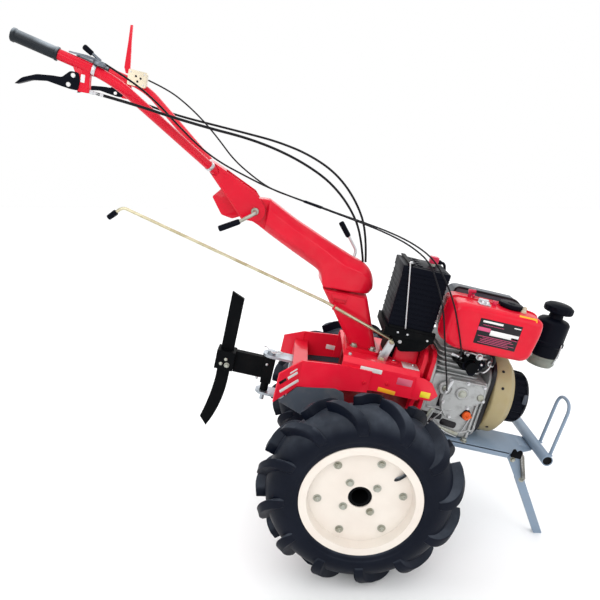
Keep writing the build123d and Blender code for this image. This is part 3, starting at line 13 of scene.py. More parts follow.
import bmesh
import bpy
import numpy as np
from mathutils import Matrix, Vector


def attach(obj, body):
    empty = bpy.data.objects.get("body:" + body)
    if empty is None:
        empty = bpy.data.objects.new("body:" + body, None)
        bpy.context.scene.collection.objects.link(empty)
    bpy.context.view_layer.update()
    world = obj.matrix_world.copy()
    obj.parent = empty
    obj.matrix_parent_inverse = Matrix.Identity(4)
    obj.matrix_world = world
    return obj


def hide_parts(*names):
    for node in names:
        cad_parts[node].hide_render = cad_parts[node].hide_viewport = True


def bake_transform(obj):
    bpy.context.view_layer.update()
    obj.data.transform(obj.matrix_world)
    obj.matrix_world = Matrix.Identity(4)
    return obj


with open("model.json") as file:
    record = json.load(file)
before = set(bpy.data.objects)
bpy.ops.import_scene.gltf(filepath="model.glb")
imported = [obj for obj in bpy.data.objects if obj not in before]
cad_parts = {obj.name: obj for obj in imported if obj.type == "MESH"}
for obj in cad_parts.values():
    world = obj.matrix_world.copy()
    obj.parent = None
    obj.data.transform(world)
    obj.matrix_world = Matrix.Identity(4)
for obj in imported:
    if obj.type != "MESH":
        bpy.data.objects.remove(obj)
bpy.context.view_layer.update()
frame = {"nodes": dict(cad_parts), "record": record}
record = frame["record"]

# %% [markdown]
# ## The machine's own level frame
#
# The machine stands nose down on its front stand, so its own axes are tipped against the floor.
# The maker's drawing is level, with its origin at the wheel axle: X forward, Y to the left, Z up.
# Every place below is given in that drawing, in millimetres, and one rotation stands it in the
# scene. A second rotation swivels what belongs to the handlebar, which is parked a little to the
# right.

# %% Stance
AHEAD, LEFT, RIGHT, UP = (1, 0, 0), (0, 1, 0), (0, -1, 0), (0, 0, 1)
PARK_PITCH = math.radians(13)
SWIVEL = math.radians(7)
COLUMN_X = -147.0
AXLE = np.array([0.0827, 0.0036, 0.290])


def place(points, swivelled=False):
    """Level drawing points in mm to scene points in m: turn about the column's axis where the
    piece swivels, tip nose down about the axle, scale, and lift the axle to its height."""
    p = np.asarray(points, float)
    x, y, z = p[..., 0], p[..., 1], p[..., 2]
    if swivelled:
        c, s = math.cos(SWIVEL), math.sin(SWIVEL)
        x, y = COLUMN_X + (x - COLUMN_X) * c - y * s, (x - COLUMN_X) * s + y * c
    c, s = math.cos(PARK_PITCH), math.sin(PARK_PITCH)
    return np.stack([x * c + z * s, y, z * c - x * s], -1) / 1000 + AXLE


print("the column stands over", place([COLUMN_X, 0, 0]).round(3))

# %% [markdown]
# ## Camera and light
#
# The camera looks at the machine's right side from chest height, a little downwards, through a
# slightly wide lens. Light is a soft studio. The sky is plain white low down, where it is seen
# behind the machine, and dims higher up, so that the upper faces keep their colour. It brightens
# again overhead, which gives the paint a soft highlight. A wide key stands above and behind the
# camera's left shoulder, a weaker cool fill on the right, and a broad light behind the machine
# draws the edges of the black pieces.

# %% Camera
SENSOR, FOCAL_LENGTH = 36, 33.522  # millimetres
LENS_TILT, LENS_PAN = 16.57, 1.18  # degrees downwards and to the left
camera_data = bpy.data.cameras.new("camera")
camera_data.sensor_width = SENSOR
camera_data.lens = FOCAL_LENGTH
camera = bpy.data.objects.new("camera", camera_data)
bpy.context.collection.objects.link(camera)
camera.location = (-0.0542, -1.6415, 1.2414)
camera.rotation_euler = (math.radians(90 - LENS_TILT), 0, math.radians(LENS_PAN))
bpy.context.scene.camera = camera
print("lens", round(camera_data.lens, 1), "mm")

# %% Sky
# The two bands are added. A band is (low, high, strength at low, strength at high), where low
# and high say how steeply the direction of view points up: 0 is level and 1 is overhead.
SKY_BANDS = ((0.46, 0.6, 1.0, 0.4), (0.6, 0.9, 0.0, 1.4))
bpy.context.scene.view_settings.view_transform = "Standard"
world = bpy.data.worlds.new("studio")
bpy.context.scene.world = world
world.use_nodes = True
tree = world.node_tree
coords = tree.nodes.new("ShaderNodeTexCoord")
axes = tree.nodes.new("ShaderNodeSeparateXYZ")
tree.links.new(coords.outputs["Generated"], axes.inputs[0])
ranges = []
for limits in SKY_BANDS:
    band = tree.nodes.new("ShaderNodeMapRange")
    tree.links.new(axes.outputs["Z"], band.inputs["Value"])
    for socket, value in zip(("From Min", "From Max", "To Min", "To Max"), limits):
        band.inputs[socket].default_value = value
    ranges.append(band)
both = tree.nodes.new("ShaderNodeMath")
for band, socket in zip(ranges, both.inputs):
    tree.links.new(band.outputs[0], socket)
background = tree.nodes["Background"]
tree.links.new(both.outputs[0], background.inputs["Strength"])
background.inputs["Color"].default_value = (1, 1, 1, 1)
print("sky bands", SKY_BANDS)


# %% Lights and floor
def area_light(name, at, height, size, watts, tint=(1, 1, 1)):
    """A square soft light that faces the machine's middle at a height."""
    data = bpy.data.lights.new(name, "AREA")
    data.size = size
    data.energy = watts
    data.color = tint
    light = bpy.data.objects.new(name, data)
    bpy.context.collection.objects.link(light)
    light.location = at
    aim = Vector((0, 0, height)) - Vector(at)
    light.rotation_euler = aim.to_track_quat("-Z", "Y").to_euler()


area_light("key", (-1.2, -3.0, 2.7), 0.5, 2.0, 34)
area_light("fill", (2.6, -2.2, 1.8), 0.5, 2.0, 16, (0.95, 0.97, 1))
area_light("rim", (0.4, 2.8, 2.6), 0.6, 2.6, 30)

FLOOR_SIZE = 16
bpy.ops.mesh.primitive_plane_add(size=FLOOR_SIZE)
floor = bpy.context.object
floor.name = "floor"
print("three lights over a floor of", FLOOR_SIZE, "m")

# %% [markdown]
# ## Shader maths as expressions
#
# A finish is a small field of numbers over the surface: how dusty, how worn, how rough here.
# Written node by node it is unreadable, so one class wraps a node socket and lets `+`, `*` and
# the rest add the Math nodes. `Finish.node` adds every other kind of node.


# %% Links
class Link:
    """A number or colour that flows out of a node. Arithmetic on it adds Math nodes."""

    def __init__(self, finish, socket):
        self.finish, self.socket = finish, socket

    def math(self, operation, *values):
        return self.finish.node("Math", {"operation": operation}, *values)

    def __add__(self, other): return self.math("ADD", self, other)
    def __radd__(self, other): return self.math("ADD", other, self)
    def __sub__(self, other): return self.math("SUBTRACT", self, other)
    def __rsub__(self, other): return self.math("SUBTRACT", other, self)
    def __mul__(self, other): return self.math("MULTIPLY", self, other)
    def __rmul__(self, other): return self.math("MULTIPLY", other, self)

    def step(self, low, high):
        """0 below low, 1 above high, smooth between."""
        smooth = {"interpolation_type": "SMOOTHSTEP"}
        return self.finish.node("MapRange", smooth, self, low, high, 0.0, 1.0)


print("sockets add, subtract and multiply")


# %% Finishes
class Finish:
    """A procedural material round one Principled shader, with Object coordinates in metres."""

    def __init__(self, name, color, roughness=0.5, metallic=0.0, coat=0.0):
        self.material = bpy.data.materials.new(name)
        self.material.use_nodes = True
        self.tree = self.material.node_tree
        self.shader = self.tree.nodes["Principled BSDF"]
        self.set(Base_Color=(*color, 1), Roughness=roughness, Metallic=metallic,
                 Coat_Weight=coat, Coat_Roughness=0.06)
        self.where = self.node("TexCoord", output="Object")

    def node(self, kind, settings=None, *values, output=0):
        """Adds a node: its settings first, then the values or links of its sockets in order."""
        made = self.tree.nodes.new("ShaderNode" + kind)
        for key, value in (settings or {}).items():
            setattr(made, key, value)
        for socket, value in zip(made.inputs, values):
            self.feed(socket, value)
        return Link(self, made.outputs[output])

    def feed(self, socket, value):
        """Links a link to a socket, sets any other value on it, and leaves it alone for None."""
        if isinstance(value, Link):
            self.tree.links.new(value.socket, socket)
        elif value is not None:
            socket.default_value = value

    def set(self, **sockets):
        """Sets sockets of the shader by name, a value or a link each."""
        for name, value in sockets.items():
            self.feed(self.shader.inputs[name.replace("_", " ")], value)
        return self

    def noise(self, scale, detail=3.0, roughness=0.55):
        """Soft random field around 0.5, with so many grains to the metre."""
        return self.node("TexNoise", None, self.where, None, scale, detail, roughness)

    def mix(self, amount, first, second):
        """Colour between two colours, by a number or a link."""
        made = self.tree.nodes.new("ShaderNodeMix")
        made.data_type = "RGBA"
        for key, value in (("Factor_Float", amount), ("A_Color", first), ("B_Color", second)):
            socket = next(s for s in made.inputs if s.identifier == key)
            self.feed(socket, (*value, 1) if isinstance(value, tuple) else value)
        return Link(self, next(s for s in made.outputs if s.identifier == "Result_Color"))

    def relief(self, height, depth, round_edges=0.0):
        """Bumps of so many metres; round_edges blends the normals over sharp edges that wide."""
        soft = self.node("Bevel", {"samples": 4}, round_edges) if round_edges else None
        made = self.tree.nodes.new("ShaderNodeBump")
        sockets = {"Strength": 1.0, "Distance": depth, "Height": height, "Normal": soft}
        for key, value in sockets.items():
            self.feed(made.inputs[key], value)
        self.set(Normal=Link(self, made.outputs[0]))


print("shader tools ready")

# %% [markdown]
# ## Finishes
#
# Paint on a machine like this is one thick glossy coat: slightly uneven (orange peel), a little
# thin and rough along edges, with a film of dust on it. The deck and the side plates have a paler,
# hazier red than the beam: partly weathering, and partly painted light that makes up for the shade
# of the tyres. Rubber is matte and has a faint bloom, and its upper faces are paler: partly
# settled dust, and partly a painted highlight of the light from above. Bare castings are grainy,
# and plated steel has stains. All patterns are in Object coordinates, so their grain keeps its
# real size on every piece.


# %% Paint and rubber
DUST = (0.42, 0.36, 0.3)


def paint(name, color, roughness=0.3, coat=0.3, peel=0.00002, dust=0.05, edges=0.0015,
          under=None, shine=0.2):
    """Gloss paint: orange-peel relief, slow colour drift, rougher dusty patches, and softened
    edges. The drift goes halfway to the darker colour under it."""
    f = Finish(name, color, roughness, coat=coat)
    drift = f.noise(9, 2)
    dirt = (f.noise(26, 5) * f.noise(3.5, 3)).step(0.2, 0.42) * dust
    dark = under or tuple(c * 0.62 for c in color)
    tone = f.mix(drift.step(0.25, 0.75) * 0.5, color, dark)
    f.set(Base_Color=f.mix(dirt, tone, DUST), Roughness=roughness + dirt * 1.6 + drift * 0.08,
          Specular_IOR_Level=shine)
    f.relief(f.noise(260, 1), peel, edges)
    return f.material


def rubber(name, color, roughness, grain=900, depth=0.00012, bloom=0.3, edges=0.0, shine=0.1,
           dust_and_top_highlight=0.0, dust_and_highlight_tint=(0.09, 0.105, 0.13)):
    """Moulded rubber: fine pebbled relief, a grey bloom that comes and goes, and a paler tint on
    faces that look up, partly dust and partly a painted highlight: it grows with the height of
    the face's own normal."""
    f = Finish(name, color, roughness)
    patch = f.noise(14, 4).step(0.35, 0.75)
    tone = f.mix(patch * bloom, color, tuple(0.008 + 2 * c for c in color))
    # Paler up-facing faces: partly dust, partly a painted highlight of the light from above.
    if dust_and_top_highlight:
        up = f.node("SeparateXYZ", None, f.node("TexCoord", output="Normal"), output="Z")
        tone = f.mix(up.step(0.15, 0.95) * (patch * 0.6 + 0.4) * dust_and_top_highlight, tone, dust_and_highlight_tint)
    f.set(Base_Color=tone, Roughness=roughness + patch * 0.14, Specular_IOR_Level=shine)
    f.relief(f.noise(grain, 2) + f.noise(grain / 9, 3) * 1.5, depth, edges)
    return f.material


print("paint and rubber ready")


# %% Metal
def metal(name, color, roughness, stain, stained):
    """Bare or plated metal: fine grain, with stains where the plating has dulled."""
    f = Finish(name, color, roughness, metallic=1.0)
    grain = f.noise(260, 3)
    patch = f.noise(30, 4).step(0.42, 0.7)
    f.set(Base_Color=f.mix(patch * stained, color, stain),
          Roughness=roughness + grain * 0.16 + patch * stained * 0.25)
    f.relief(grain, 0.00004, 0.0008)
    return f.material


def casting(name, color, dark):
    """Sand-cast aluminium: pebbled skin, dull, with oil-dark patches."""
    f = Finish(name, color, 0.5, metallic=0.75)
    grit = f.noise(700, 3)
    oil = f.noise(34, 6, 0.7).step(0.5, 0.72)
    f.set(Base_Color=f.mix(oil * 0.45, color, dark), Roughness=0.42 + grit * 0.3 + oil * 0.08,
          Metallic=0.7 - oil * 0.25)
    f.relief(grit, 0.00022, 0.0018)
    return f.material


print("metals ready")

# %% The record's material slots
finishes = {
    "red_paint": paint("red_gloss_paint", (0.68, 0.0035, 0.024), 0.3, coat=0.25, dust=0.03,
                       under=(0.5, 0.002, 0.016), shine=0.12),
    "dark_red_paint": paint("dark_red_case_paint", (0.2, 0.006, 0.012), 0.4, coat=0.25,
                            dust=0.3, edges=0.003),
    "wheel_paint": paint("cream_wheel_paint", (0.77, 0.71, 0.64), 0.34, coat=0.4, dust=0.06,
                         under=(0.71, 0.62, 0.55)),
    "cream_paint": paint("ivory_box_paint", (0.78, 0.7, 0.53), 0.4, coat=0.2, dust=0.1),
    "gold_paint": paint("gold_shroud_paint", (0.35, 0.29, 0.15), 0.36, dust=0.15,
                        under=(0.27, 0.21, 0.1)),
    "grey_paint": paint("blue_grey_frame_paint", (0.22, 0.29, 0.38), 0.42, coat=0.25, dust=0.1,
                        under=(0.16, 0.22, 0.3)),
    "grey_sheet": paint("slate_grey_sheet", (0.07, 0.085, 0.11), 0.42, coat=0.2, dust=0.12),
    "black_steel": paint("black_tool_paint", (0.003, 0.0036, 0.0045), 0.5, coat=0.0,
                         dust=0.006, shine=0.04),
    # The tyre's upper faces are paler: partly dust, partly a painted highlight.
    "tyre_rubber": rubber("tyre_rubber", (0.0026, 0.0044, 0.0105), 0.4, bloom=0.25, shine=0.09,
                          dust_and_top_highlight=0.7),
    # The grip's pale blue-grey top is mostly a painted highlight, with some dust.
    "grip_rubber": rubber("grip_rubber", (0.008, 0.011, 0.015), 0.36, grain=1400, edges=0.0015,
                          shine=0.2, dust_and_top_highlight=1.0, dust_and_highlight_tint=(0.5, 0.56, 0.62)),
    "black_plastic": rubber("black_plastic", (0.0026, 0.0034, 0.0072), 0.4, grain=1600,
                            depth=0.00004, bloom=0.06, edges=0.002, shine=0.05),
    "zinc_steel": metal("yellow_zinc", (0.58, 0.54, 0.38), 0.3, (0.3, 0.23, 0.1), 0.6),
    "cast_aluminium": casting("cast_aluminium", (0.44, 0.45, 0.45), (0.16, 0.16, 0.155)),
}
print(len(finishes), "slots of the record have a finish")

# %% Finishes of more than one piece
steel = metal("bright_steel", (0.58, 0.59, 0.61), 0.26, (0.45, 0.42, 0.38), 0.3)
gunmetal = metal("gunmetal", (0.17, 0.19, 0.22), 0.32, (0.1, 0.11, 0.13), 0.4)
# A paler, brighter copy of the red for the deck and side plates: partly weathered haze, partly
# painted light that makes up for the shade of the tyres.
hazed_and_brightened_red = paint("hazed_and_brightened_red_paint", (0.84, 0.012, 0.04), 0.34, coat=0.25, dust=0.03,
                  under=(0.66, 0.006, 0.026), shine=0.2)
HAZED_AND_BRIGHTENED = ("body_cover", "side_plates")
slot_of = {piece["node"]: piece["material_slot"] for piece in record["subparts"]}
for node, obj in frame["nodes"].items():
    obj.data.materials.clear()
    obj.data.materials.append(hazed_and_brightened_red if node in HAZED_AND_BRIGHTENED else finishes[slot_of[node]])
print(len(frame["nodes"]), "pieces are dressed,", len(HAZED_AND_BRIGHTENED), "of them in the hazed red")

# %% Floor
ground = Finish("pale_floor", (0.92, 0.925, 0.93), 0.55)
ground.set(Roughness=0.5 + ground.noise(40, 2) * 0.1)
floor.data.materials.append(ground.material)
print("floor finish", ground.material.name)

# %% [markdown]
# ## Shapes from arrays
#
# Every new piece is a grid of points: one direction runs along the piece, the other round it.
# `skin` turns such a grid into a mesh. `sweep` carries a round section along a path, and `turned`
# spins a profile about an axis. Points are level drawing millimetres until `place` stands them in
# the scene.


# %% Grid skins
def grid_faces(rows, cols, wrap_rows, start):
    """Four-sided faces (i, j), (i+1, j), (i+1, j+1), (i, j+1) of a rows by cols grid that joins
    round its columns, and round its rows where they wrap."""
    i = np.arange(rows if wrap_rows else rows - 1)[:, None]
    j = np.arange(cols)[None, :]
    k, m = (i + 1) % rows, (j + 1) % cols
    corners = (i * cols + j, k * cols + j, k * cols + m, i * cols + m)
    return np.stack(np.broadcast_arrays(*corners), -1).reshape(-1, 4) + start


def skin(grids, wrap_rows=False):
    """Joins several grids (rows, cols, 3), each closed round its columns. A grid whose rows don't
    wrap is capped at both ends."""
    points, faces, start = [], [], 0
    for grid in grids:
        rows, cols = grid.shape[:2]
        points.append(grid.reshape(-1, 3))
        faces += grid_faces(rows, cols, wrap_rows, start).tolist()
        if not wrap_rows:
            faces.append((np.arange(cols) + start).tolist())
            faces.append((np.arange(cols)[::-1] + start + (rows - 1) * cols).tolist())
        start += rows * cols
    return np.concatenate(points), faces


print("grids become skins")


# %% Meshes
def closed(mesh, source=None):
    """Merges the doubles of a mesh and turns its faces outwards. Given a source, it fills the
    mesh with a merged copy of that, whose faces already point the right way."""
    work = bmesh.new()
    work.from_mesh(source or mesh)
    bmesh.ops.remove_doubles(work, verts=work.verts, dist=1e-6)
    if source is None:
        bmesh.ops.recalc_face_normals(work, faces=work.faces)
    work.to_mesh(mesh)
    work.free()


def show(name, mesh, finish, body, node=None):
    """An object that rides on a body. It may stand for a CAD node and name the record's slot."""
    mesh.materials.append(finishes[finish] if isinstance(finish, str) else finish)
    piece = bpy.data.objects.new(name, mesh)
    bpy.context.collection.objects.link(piece)
    if body:
        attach(piece, body)
    if node:
        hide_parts(node)
    return piece


def new_piece(name, points, faces, finish, body="root", node=None, sharp=None):
    """A smooth piece from scene points and index rows, with edges kept sharper than an angle."""
    mesh = bpy.data.meshes.new(name)
    mesh.from_pydata(np.asarray(points, float).reshape(-1, 3).tolist(), [], faces)
    mesh.polygons.foreach_set("use_smooth", [True] * len(mesh.polygons))
    closed(mesh)
    if sharp:
        mesh.set_sharp_from_angle(angle=math.radians(sharp))
    return show(name, mesh, finish, body, node)


def build(name, grids, finish, body="root", swivelled=False, sharp=None, node=None,
          wrap_rows=False):
    """Places grids drawn in level millimetres and skins them into one piece."""
    points, faces = skin([place(grid, swivelled) for grid in grids], wrap_rows)
    return new_piece(name, points, faces, finish, body, node, sharp)


print("meshes become pieces")


# %% Sweeps and turned shapes
def frames_along(path):
    """Unit tangents of a polyline and two normals that don't spin: each is the last one made
    square to the new tangent."""
    path = np.asarray(path, float)
    t = np.gradient(path, axis=0)
    t /= np.linalg.norm(t, axis=1)[:, None]
    n = np.cross(t[0], UP if abs(t[0][2]) < 0.9 else AHEAD)
    first = []
    for tangent in t:
        n = n - tangent * (n @ tangent)
        n = n / np.linalg.norm(n)
        first.append(n)
    first = np.array(first)
    return t, first, np.cross(t, first)


def sweep(path, radius, around=16):
    """Tube along a path: centre + radius * (cos a * first normal + sin a * second normal)."""
    path = np.asarray(path, float)
    _, n, b = frames_along(path)
    a = np.linspace(0, 2 * np.pi, around, endpoint=False)
    r = np.broadcast_to(np.asarray(radius, float), len(path))[:, None, None]
    ring = np.cos(a)[None, :, None] * n[:, None] + np.sin(a)[None, :, None] * b[:, None]
    return path[:, None] + r * ring


def turned(profile, origin, axis, around=32):
    """Surface of revolution: each (along, radius) pair becomes a circle about the axis."""
    axis = np.asarray(axis, float) / np.linalg.norm(axis)
    side = np.cross(axis, UP if abs(axis[2]) < 0.9 else AHEAD)
    side /= np.linalg.norm(side)
    up = np.cross(axis, side)
    a = np.linspace(0, 2 * np.pi, around, endpoint=False)
    along, radius = np.asarray(profile, float).T[..., None, None]
    ring = np.cos(a)[:, None] * side + np.sin(a)[:, None] * up
    return np.asarray(origin, float) + along * axis + np.maximum(radius, 1e-3) * ring


print("paths and profiles become grids")


# %% Softened lines
def eased(p, cut, limit, steps, closed_loop=False):
    """Cuts corners by small arcs: (1-t)^2 * before + 2t(1-t) * corner + t^2 * after, between the
    points one cut away from the corner, and never past the limit's share of an edge."""
    p = np.asarray(p, float)
    before, after = np.roll(p, 1, 0) - p, np.roll(p, -1, 0) - p
    if not closed_loop:
        before, after = before[1:-1], after[1:-1]
    corner = p if closed_loop else p[1:-1]
    for edge in (before, after):
        long = np.linalg.norm(edge, axis=1)[:, None]
        edge *= np.minimum(cut, long / limit) / np.maximum(long, 1e-9)
    t = np.linspace(0, 1, steps + 1)[None, :, None]
    start, middle, end = (corner + before)[:, None], corner[:, None], (corner + after)[:, None]
    arcs = (1 - t) ** 2 * start + 2 * t * (1 - t) * middle + t**2 * end
    return arcs.reshape(-1, p.shape[1])


def rounded(profile, cut=1.0, steps=3):
    """An open line with its inner corners eased."""
    arcs = eased(profile, cut, 2.1, steps)
    return np.concatenate([np.asarray(profile[:1], float), arcs, np.asarray(profile[-1:], float)])


def soft_outline(corners, radius, steps=6):
    """A closed loop in a plane with every corner eased."""
    return eased(corners, radius, 2.05, steps, closed_loop=True)


def stretched(table, steps):
    """Resamples a table of rows evenly, with a smooth cubic curve through the rows."""
    t = np.linspace(0, len(table) - 1, steps)
    i = np.clip(t.astype(int), 0, len(table) - 2)
    u = (t - i)[:, None] if table.ndim > 1 else t - i
    pad = np.concatenate([2 * table[:1] - table[1:2], table, 2 * table[-1:] - table[-2:-1]])
    a, b, c, d = pad[i], pad[i + 1], pad[i + 2], pad[i + 3]
    bend = u**2 * (2 * a - 5 * b + 4 * c - d) + u**3 * (3 * b - a - 3 * c + d)
    return b + u * (c - a) / 2 + bend / 2


print("mesh tools ready")

# %% [markdown]
# ## Control cables
#
# Four sheathed cables hang between the handlebar and the machine. Each is held at both ends, so
# it isn't a free cord: it must bend where the handlebar swivels. The route's points pull a smooth
# NURBS line, and a round sheath is swept along the points that Blender reads from that line. The
# two clutch cables end on the beam, which follows the swivel. The throttle and stop cables go on
# to the engine, so each is made in two lengths that meet in a sleeve on the beam. The sheaths ride
# on no body and stay where they are made; only the sleeve rides on the beam.

# %% Cable routes
STOP = [
    (-858, 131, 935), (-792, 116, 922), (-727, 97, 894), (-666, 78, 859), (-609, 53, 819),
    (-555, 28, 776), (-494, 2, 746), (-430, -21, 722), (-360, -43, 716), (-288, -56, 710),
    (-216, -63, 702), (-143, -68, 695), (-70, -72, 686), (1, -78, 671), (64, -96, 645),
    (100, -144, 604), (132, -180, 553), (162, -184, 492), (188, -182, 437), (207, -160, 402),
    (212, -128, 381),
]
THROTTLE = [
    (-826, -327, 937), (-769, -288, 914), (-721, -243, 881), (-674, -206, 841),
    (-623, -173, 802), (-566, -144, 772), (-501, -121, 752), (-434, -109, 734),
    (-364, -102, 723), (-293, -100, 714), (-222, -100, 705), (-151, -101, 696),
    (-81, -103, 685), (-12, -108, 668), (50, -123, 638), (80, -160, 588), (110, -181, 527),
    (133, -185, 459), (157, -180, 393), (185, -160, 330), (211, -125, 276),
]
RIGHT_CLUTCH = [
    (-850, -328, 872), (-762, -311, 868), (-671, -286, 859), (-587, -242, 853),
    (-506, -193, 850), (-426, -145, 838), (-346, -99, 816), (-267, -59, 782), (-198, -29, 728),
    (-142, -9, 657), (-114, -3, 573),
]
LEFT_CLUTCH = [
    (-909, 149, 872), (-830, 146, 861), (-735, 140, 855), (-636, 126, 854), (-538, 109, 853),
    (-440, 88, 851), (-343, 68, 837), (-252, 49, 804), (-178, 29, 743), (-124, 15, 662),
    (-104, 9, 571),
]
print("stop cable passes", len(STOP), "points")


# %% Cable tools
def smooth_line(points):
    """Scene points read from the NURBS line that a route's points pull."""
    curve = bpy.data.curves.new("route", "CURVE")
    curve.dimensions = "3D"
    spline = curve.splines.new("NURBS")
    spline.points.add(len(points) - 1)
    weighted = np.column_stack([place(points), np.ones(len(points))])
    spline.points.foreach_set("co", weighted.ravel())
    spline.order_u = 3
    spline.use_endpoint_u = True
    spline.resolution_u = 8
    holder = bpy.data.objects.new("route", curve)
    mesh = bpy.data.meshes.new_from_object(holder)
    line = np.empty(len(mesh.vertices) * 3)
    mesh.vertices.foreach_get("co", line)
    bpy.data.objects.remove(holder)
    bpy.data.curves.remove(curve)
    bpy.data.meshes.remove(mesh)
    return line.reshape(-1, 3)


def sheath(name, line, radius, finish, body=None):
    """A round sheath along scene points, closed at both ends. Unless it is given a body, it
    rides on nothing."""
    points, faces = skin([sweep(line, radius, 14)])
    return new_piece(name, points, faces, finish, body)


def bend(cable, first, second, middle, behind, before):
    """Bakes a cable's placement into its mesh; it doesn't blend the cable between bodies. The two
    bodies and the distances are not used, and the place has no effect.
    """
    middle - np.array([behind, 0, 0])
    middle + np.array([before, 0, 0])
    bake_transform(cable)


CLUTCH_SHEATH, THIN_SHEATH = 0.0034, 0.0023  # radii in metres
HEIGHT_PIVOT = place([-462, 0, 657], True)
SLEEVE_AT = place([-300, -80, 714])
cable_skin = rubber("cable_sheath", (0.008, 0.008, 0.01), 0.34, grain=2000, depth=0.00002,
                    bloom=0.1)
print("height pivot at", HEIGHT_PIVOT.round(3))


# %% Clutch cables
def report_reach(name, line):
    """Prints a cable's length: the sum of the distances between its points."""
    print(name, round(np.linalg.norm(np.diff(line, axis=0), axis=1).sum(), 3), "m")


for name, route in (("clutch_cable_right", RIGHT_CLUTCH), ("clutch_cable_left", LEFT_CLUTCH)):
    line = smooth_line(route)
    cable = sheath(name, line, CLUTCH_SHEATH, cable_skin)
    bend(cable, "handlebar", "beam", HEIGHT_PIVOT, 0.16, 0.16)
    report_reach(name, line)
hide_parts("clutch_cables")

# %% Throttle and stop cables
for name, route in (("stop_cable", STOP), ("throttle_cable", THROTTLE)):
    line = smooth_line(route)
    cut = int(np.argmin(np.linalg.norm(line - SLEEVE_AT, axis=1)))
    rear = sheath(name + "_rear", line[: cut + 1], THIN_SHEATH, cable_skin)
    front = sheath(name + "_front", line[cut:], THIN_SHEATH, cable_skin)
    bend(rear, "handlebar", "beam", HEIGHT_PIVOT, 0.16, 0.07)
    bend(front, "beam", "root", line[cut], -0.03, 0.34)
    over = line[cut - 3: cut + 4]
    sheath(name + "_sleeve", over, CLUTCH_SHEATH, "black_plastic", "beam")
    report_reach(name, line)
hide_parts("control_cables")

# %% [markdown]
# ## Small hardware
#
# Bolts, pipes, springs and labels come by the dozen, so each kind is one function that gives grids
# in the level drawing, and many of them go into one mesh. A bolt head is a profile turned with six
# steps, a pipe is a round section swept along a smooth line, a spring is the same along a helix,
# and a label is a thin slab with round corners laid on a face.


# %% Bolt heads
def lathe(profile, origin, axis, around=32, cut=1.5, steps=3):
    """A turned shape whose profile has its corners eased."""
    return turned(rounded(profile, cut, steps), origin, axis, around)


def hexes(places, axis, across, height, washer=1.35):
    """Bolt heads: a six-sided turned profile with a chamfered top, over a round washer."""
    a = np.asarray(axis, float) / np.linalg.norm(axis)
    r = across / math.sqrt(3)
    head = [(0, 0), (0, r), (height * 0.82, r), (height, r * 0.84), (height, 0)]
    plate = [(-0.5, 0), (-0.5, r * washer), (1.4, r * washer), (1.4, 0)]
    grids = []
    for at in places:
        grids += [turned(head, np.asarray(at) + a * 1.2, a, 6), lathe(plate, at, a, 18, 0.5, 2)]
    return grids


def buttons(places, axis, radius, height):
    """Round heads: a quarter circle from the rim to the crown, turned about the axis."""
    t = np.linspace(0, np.pi / 2, 5)
    arc = [(height * math.sin(u), radius * math.cos(u)) for u in t]
    return [turned([(-0.5, 0), (-0.5, radius), *arc], at, axis, 18) for at in places]


print("bolt heads ready")


# %% Pipes and springs
def pipe(points, radius, around=10, steps=6):
    """A round tube along a smooth line through points, with so many steps between two."""
    points = np.asarray(points, float)
    return sweep(stretched(points, (len(points) - 1) * steps + 1), radius, around)


def bent_rod(points, cut, radius, around, steps=3):
    """A round rod with straight runs and eased bends."""
    return sweep(rounded(points, cut, steps), radius, around)


def coil(start, end, radius, wire, turns, around=8):
    """Spring wire: start + t * (end - start) + radius * (cos a * n + sin a * b), where a is t
    times so many full circles."""
    start, end = np.asarray(start, float), np.asarray(end, float)
    t = np.linspace(0, 1, int(turns * 16) + 1)[:, None]
    _, n, b = frames_along(np.array([start, (start + end) / 2, end]))
    a = 2 * np.pi * turns * t
    helix = start + t * (end - start) + radius * (np.cos(a) * n[0] + np.sin(a) * b[0])
    return sweep(helix, wire, around)


print("pipes and springs ready")


# %% Labels and pressed plates
def label(centre, u, v, width, height, thick=0.6, corner=2.0, turn=0.0):
    """A slab with round corners on the plane of u and v: ring below the face, ring on top, and a
    smaller ring that rounds the rim. The normal is u cross v."""
    u, v = (np.asarray(w, float) / np.linalg.norm(w) for w in (u, v))
    n = np.cross(u, v)
    c, s = math.cos(math.radians(turn)), math.sin(math.radians(turn))
    u, v = c * u + s * v, c * v - s * u
    a = np.arange(24) * np.pi / 12 + np.pi / 24
    circle = np.stack([np.cos(a), np.sin(a)], -1)
    core = np.sign(circle) * (np.array([width, height]) / 2 - corner)
    rings = []
    for inset, lift in ((0, -0.4), (0, thick * 0.7), (thick * 0.5, thick)):
        flat = core + max(corner - inset, 0.05) * circle
        rings.append(np.asarray(centre, float) + flat[:, :1] * u + flat[:, 1:] * v + lift * n)
    return np.array(rings)


def pressed(outline, axis, levels):
    """Pressed or moulded body: each level draws the outline towards its middle by its inset, in
    proportion along each direction, and lifts it along the axis; levels are (lift, inset)."""
    p = np.asarray(outline, float)
    middle = (p.max(0) + p.min(0)) / 2
    half = np.maximum((p.max(0) - p.min(0)) / 2, 1e-6)
    reach = np.where(half > 1, half, np.inf)
    axis = np.asarray(axis, float)
    return np.array([middle + (p - middle) * (1 - inset / reach) + lift * axis
                     for lift, inset in levels])


def side_plate(corners, radius, levels, steps=6):
    """Sheet seen from the side: (x, z) corners, eased and pressed out to (y, inset) levels."""
    loop = [(x, 0, z) for x, z in corners]
    return pressed(soft_outline(loop, radius, steps), LEFT, levels)


def flat_plate(corners, radius, levels, steps=6):
    """Sheet seen from above: (x, y) corners, eased and pressed out to (z, inset) levels."""
    loop = [(x, y, 0) for x, y in corners]
    return pressed(soft_outline(loop, radius, steps), UP, levels)


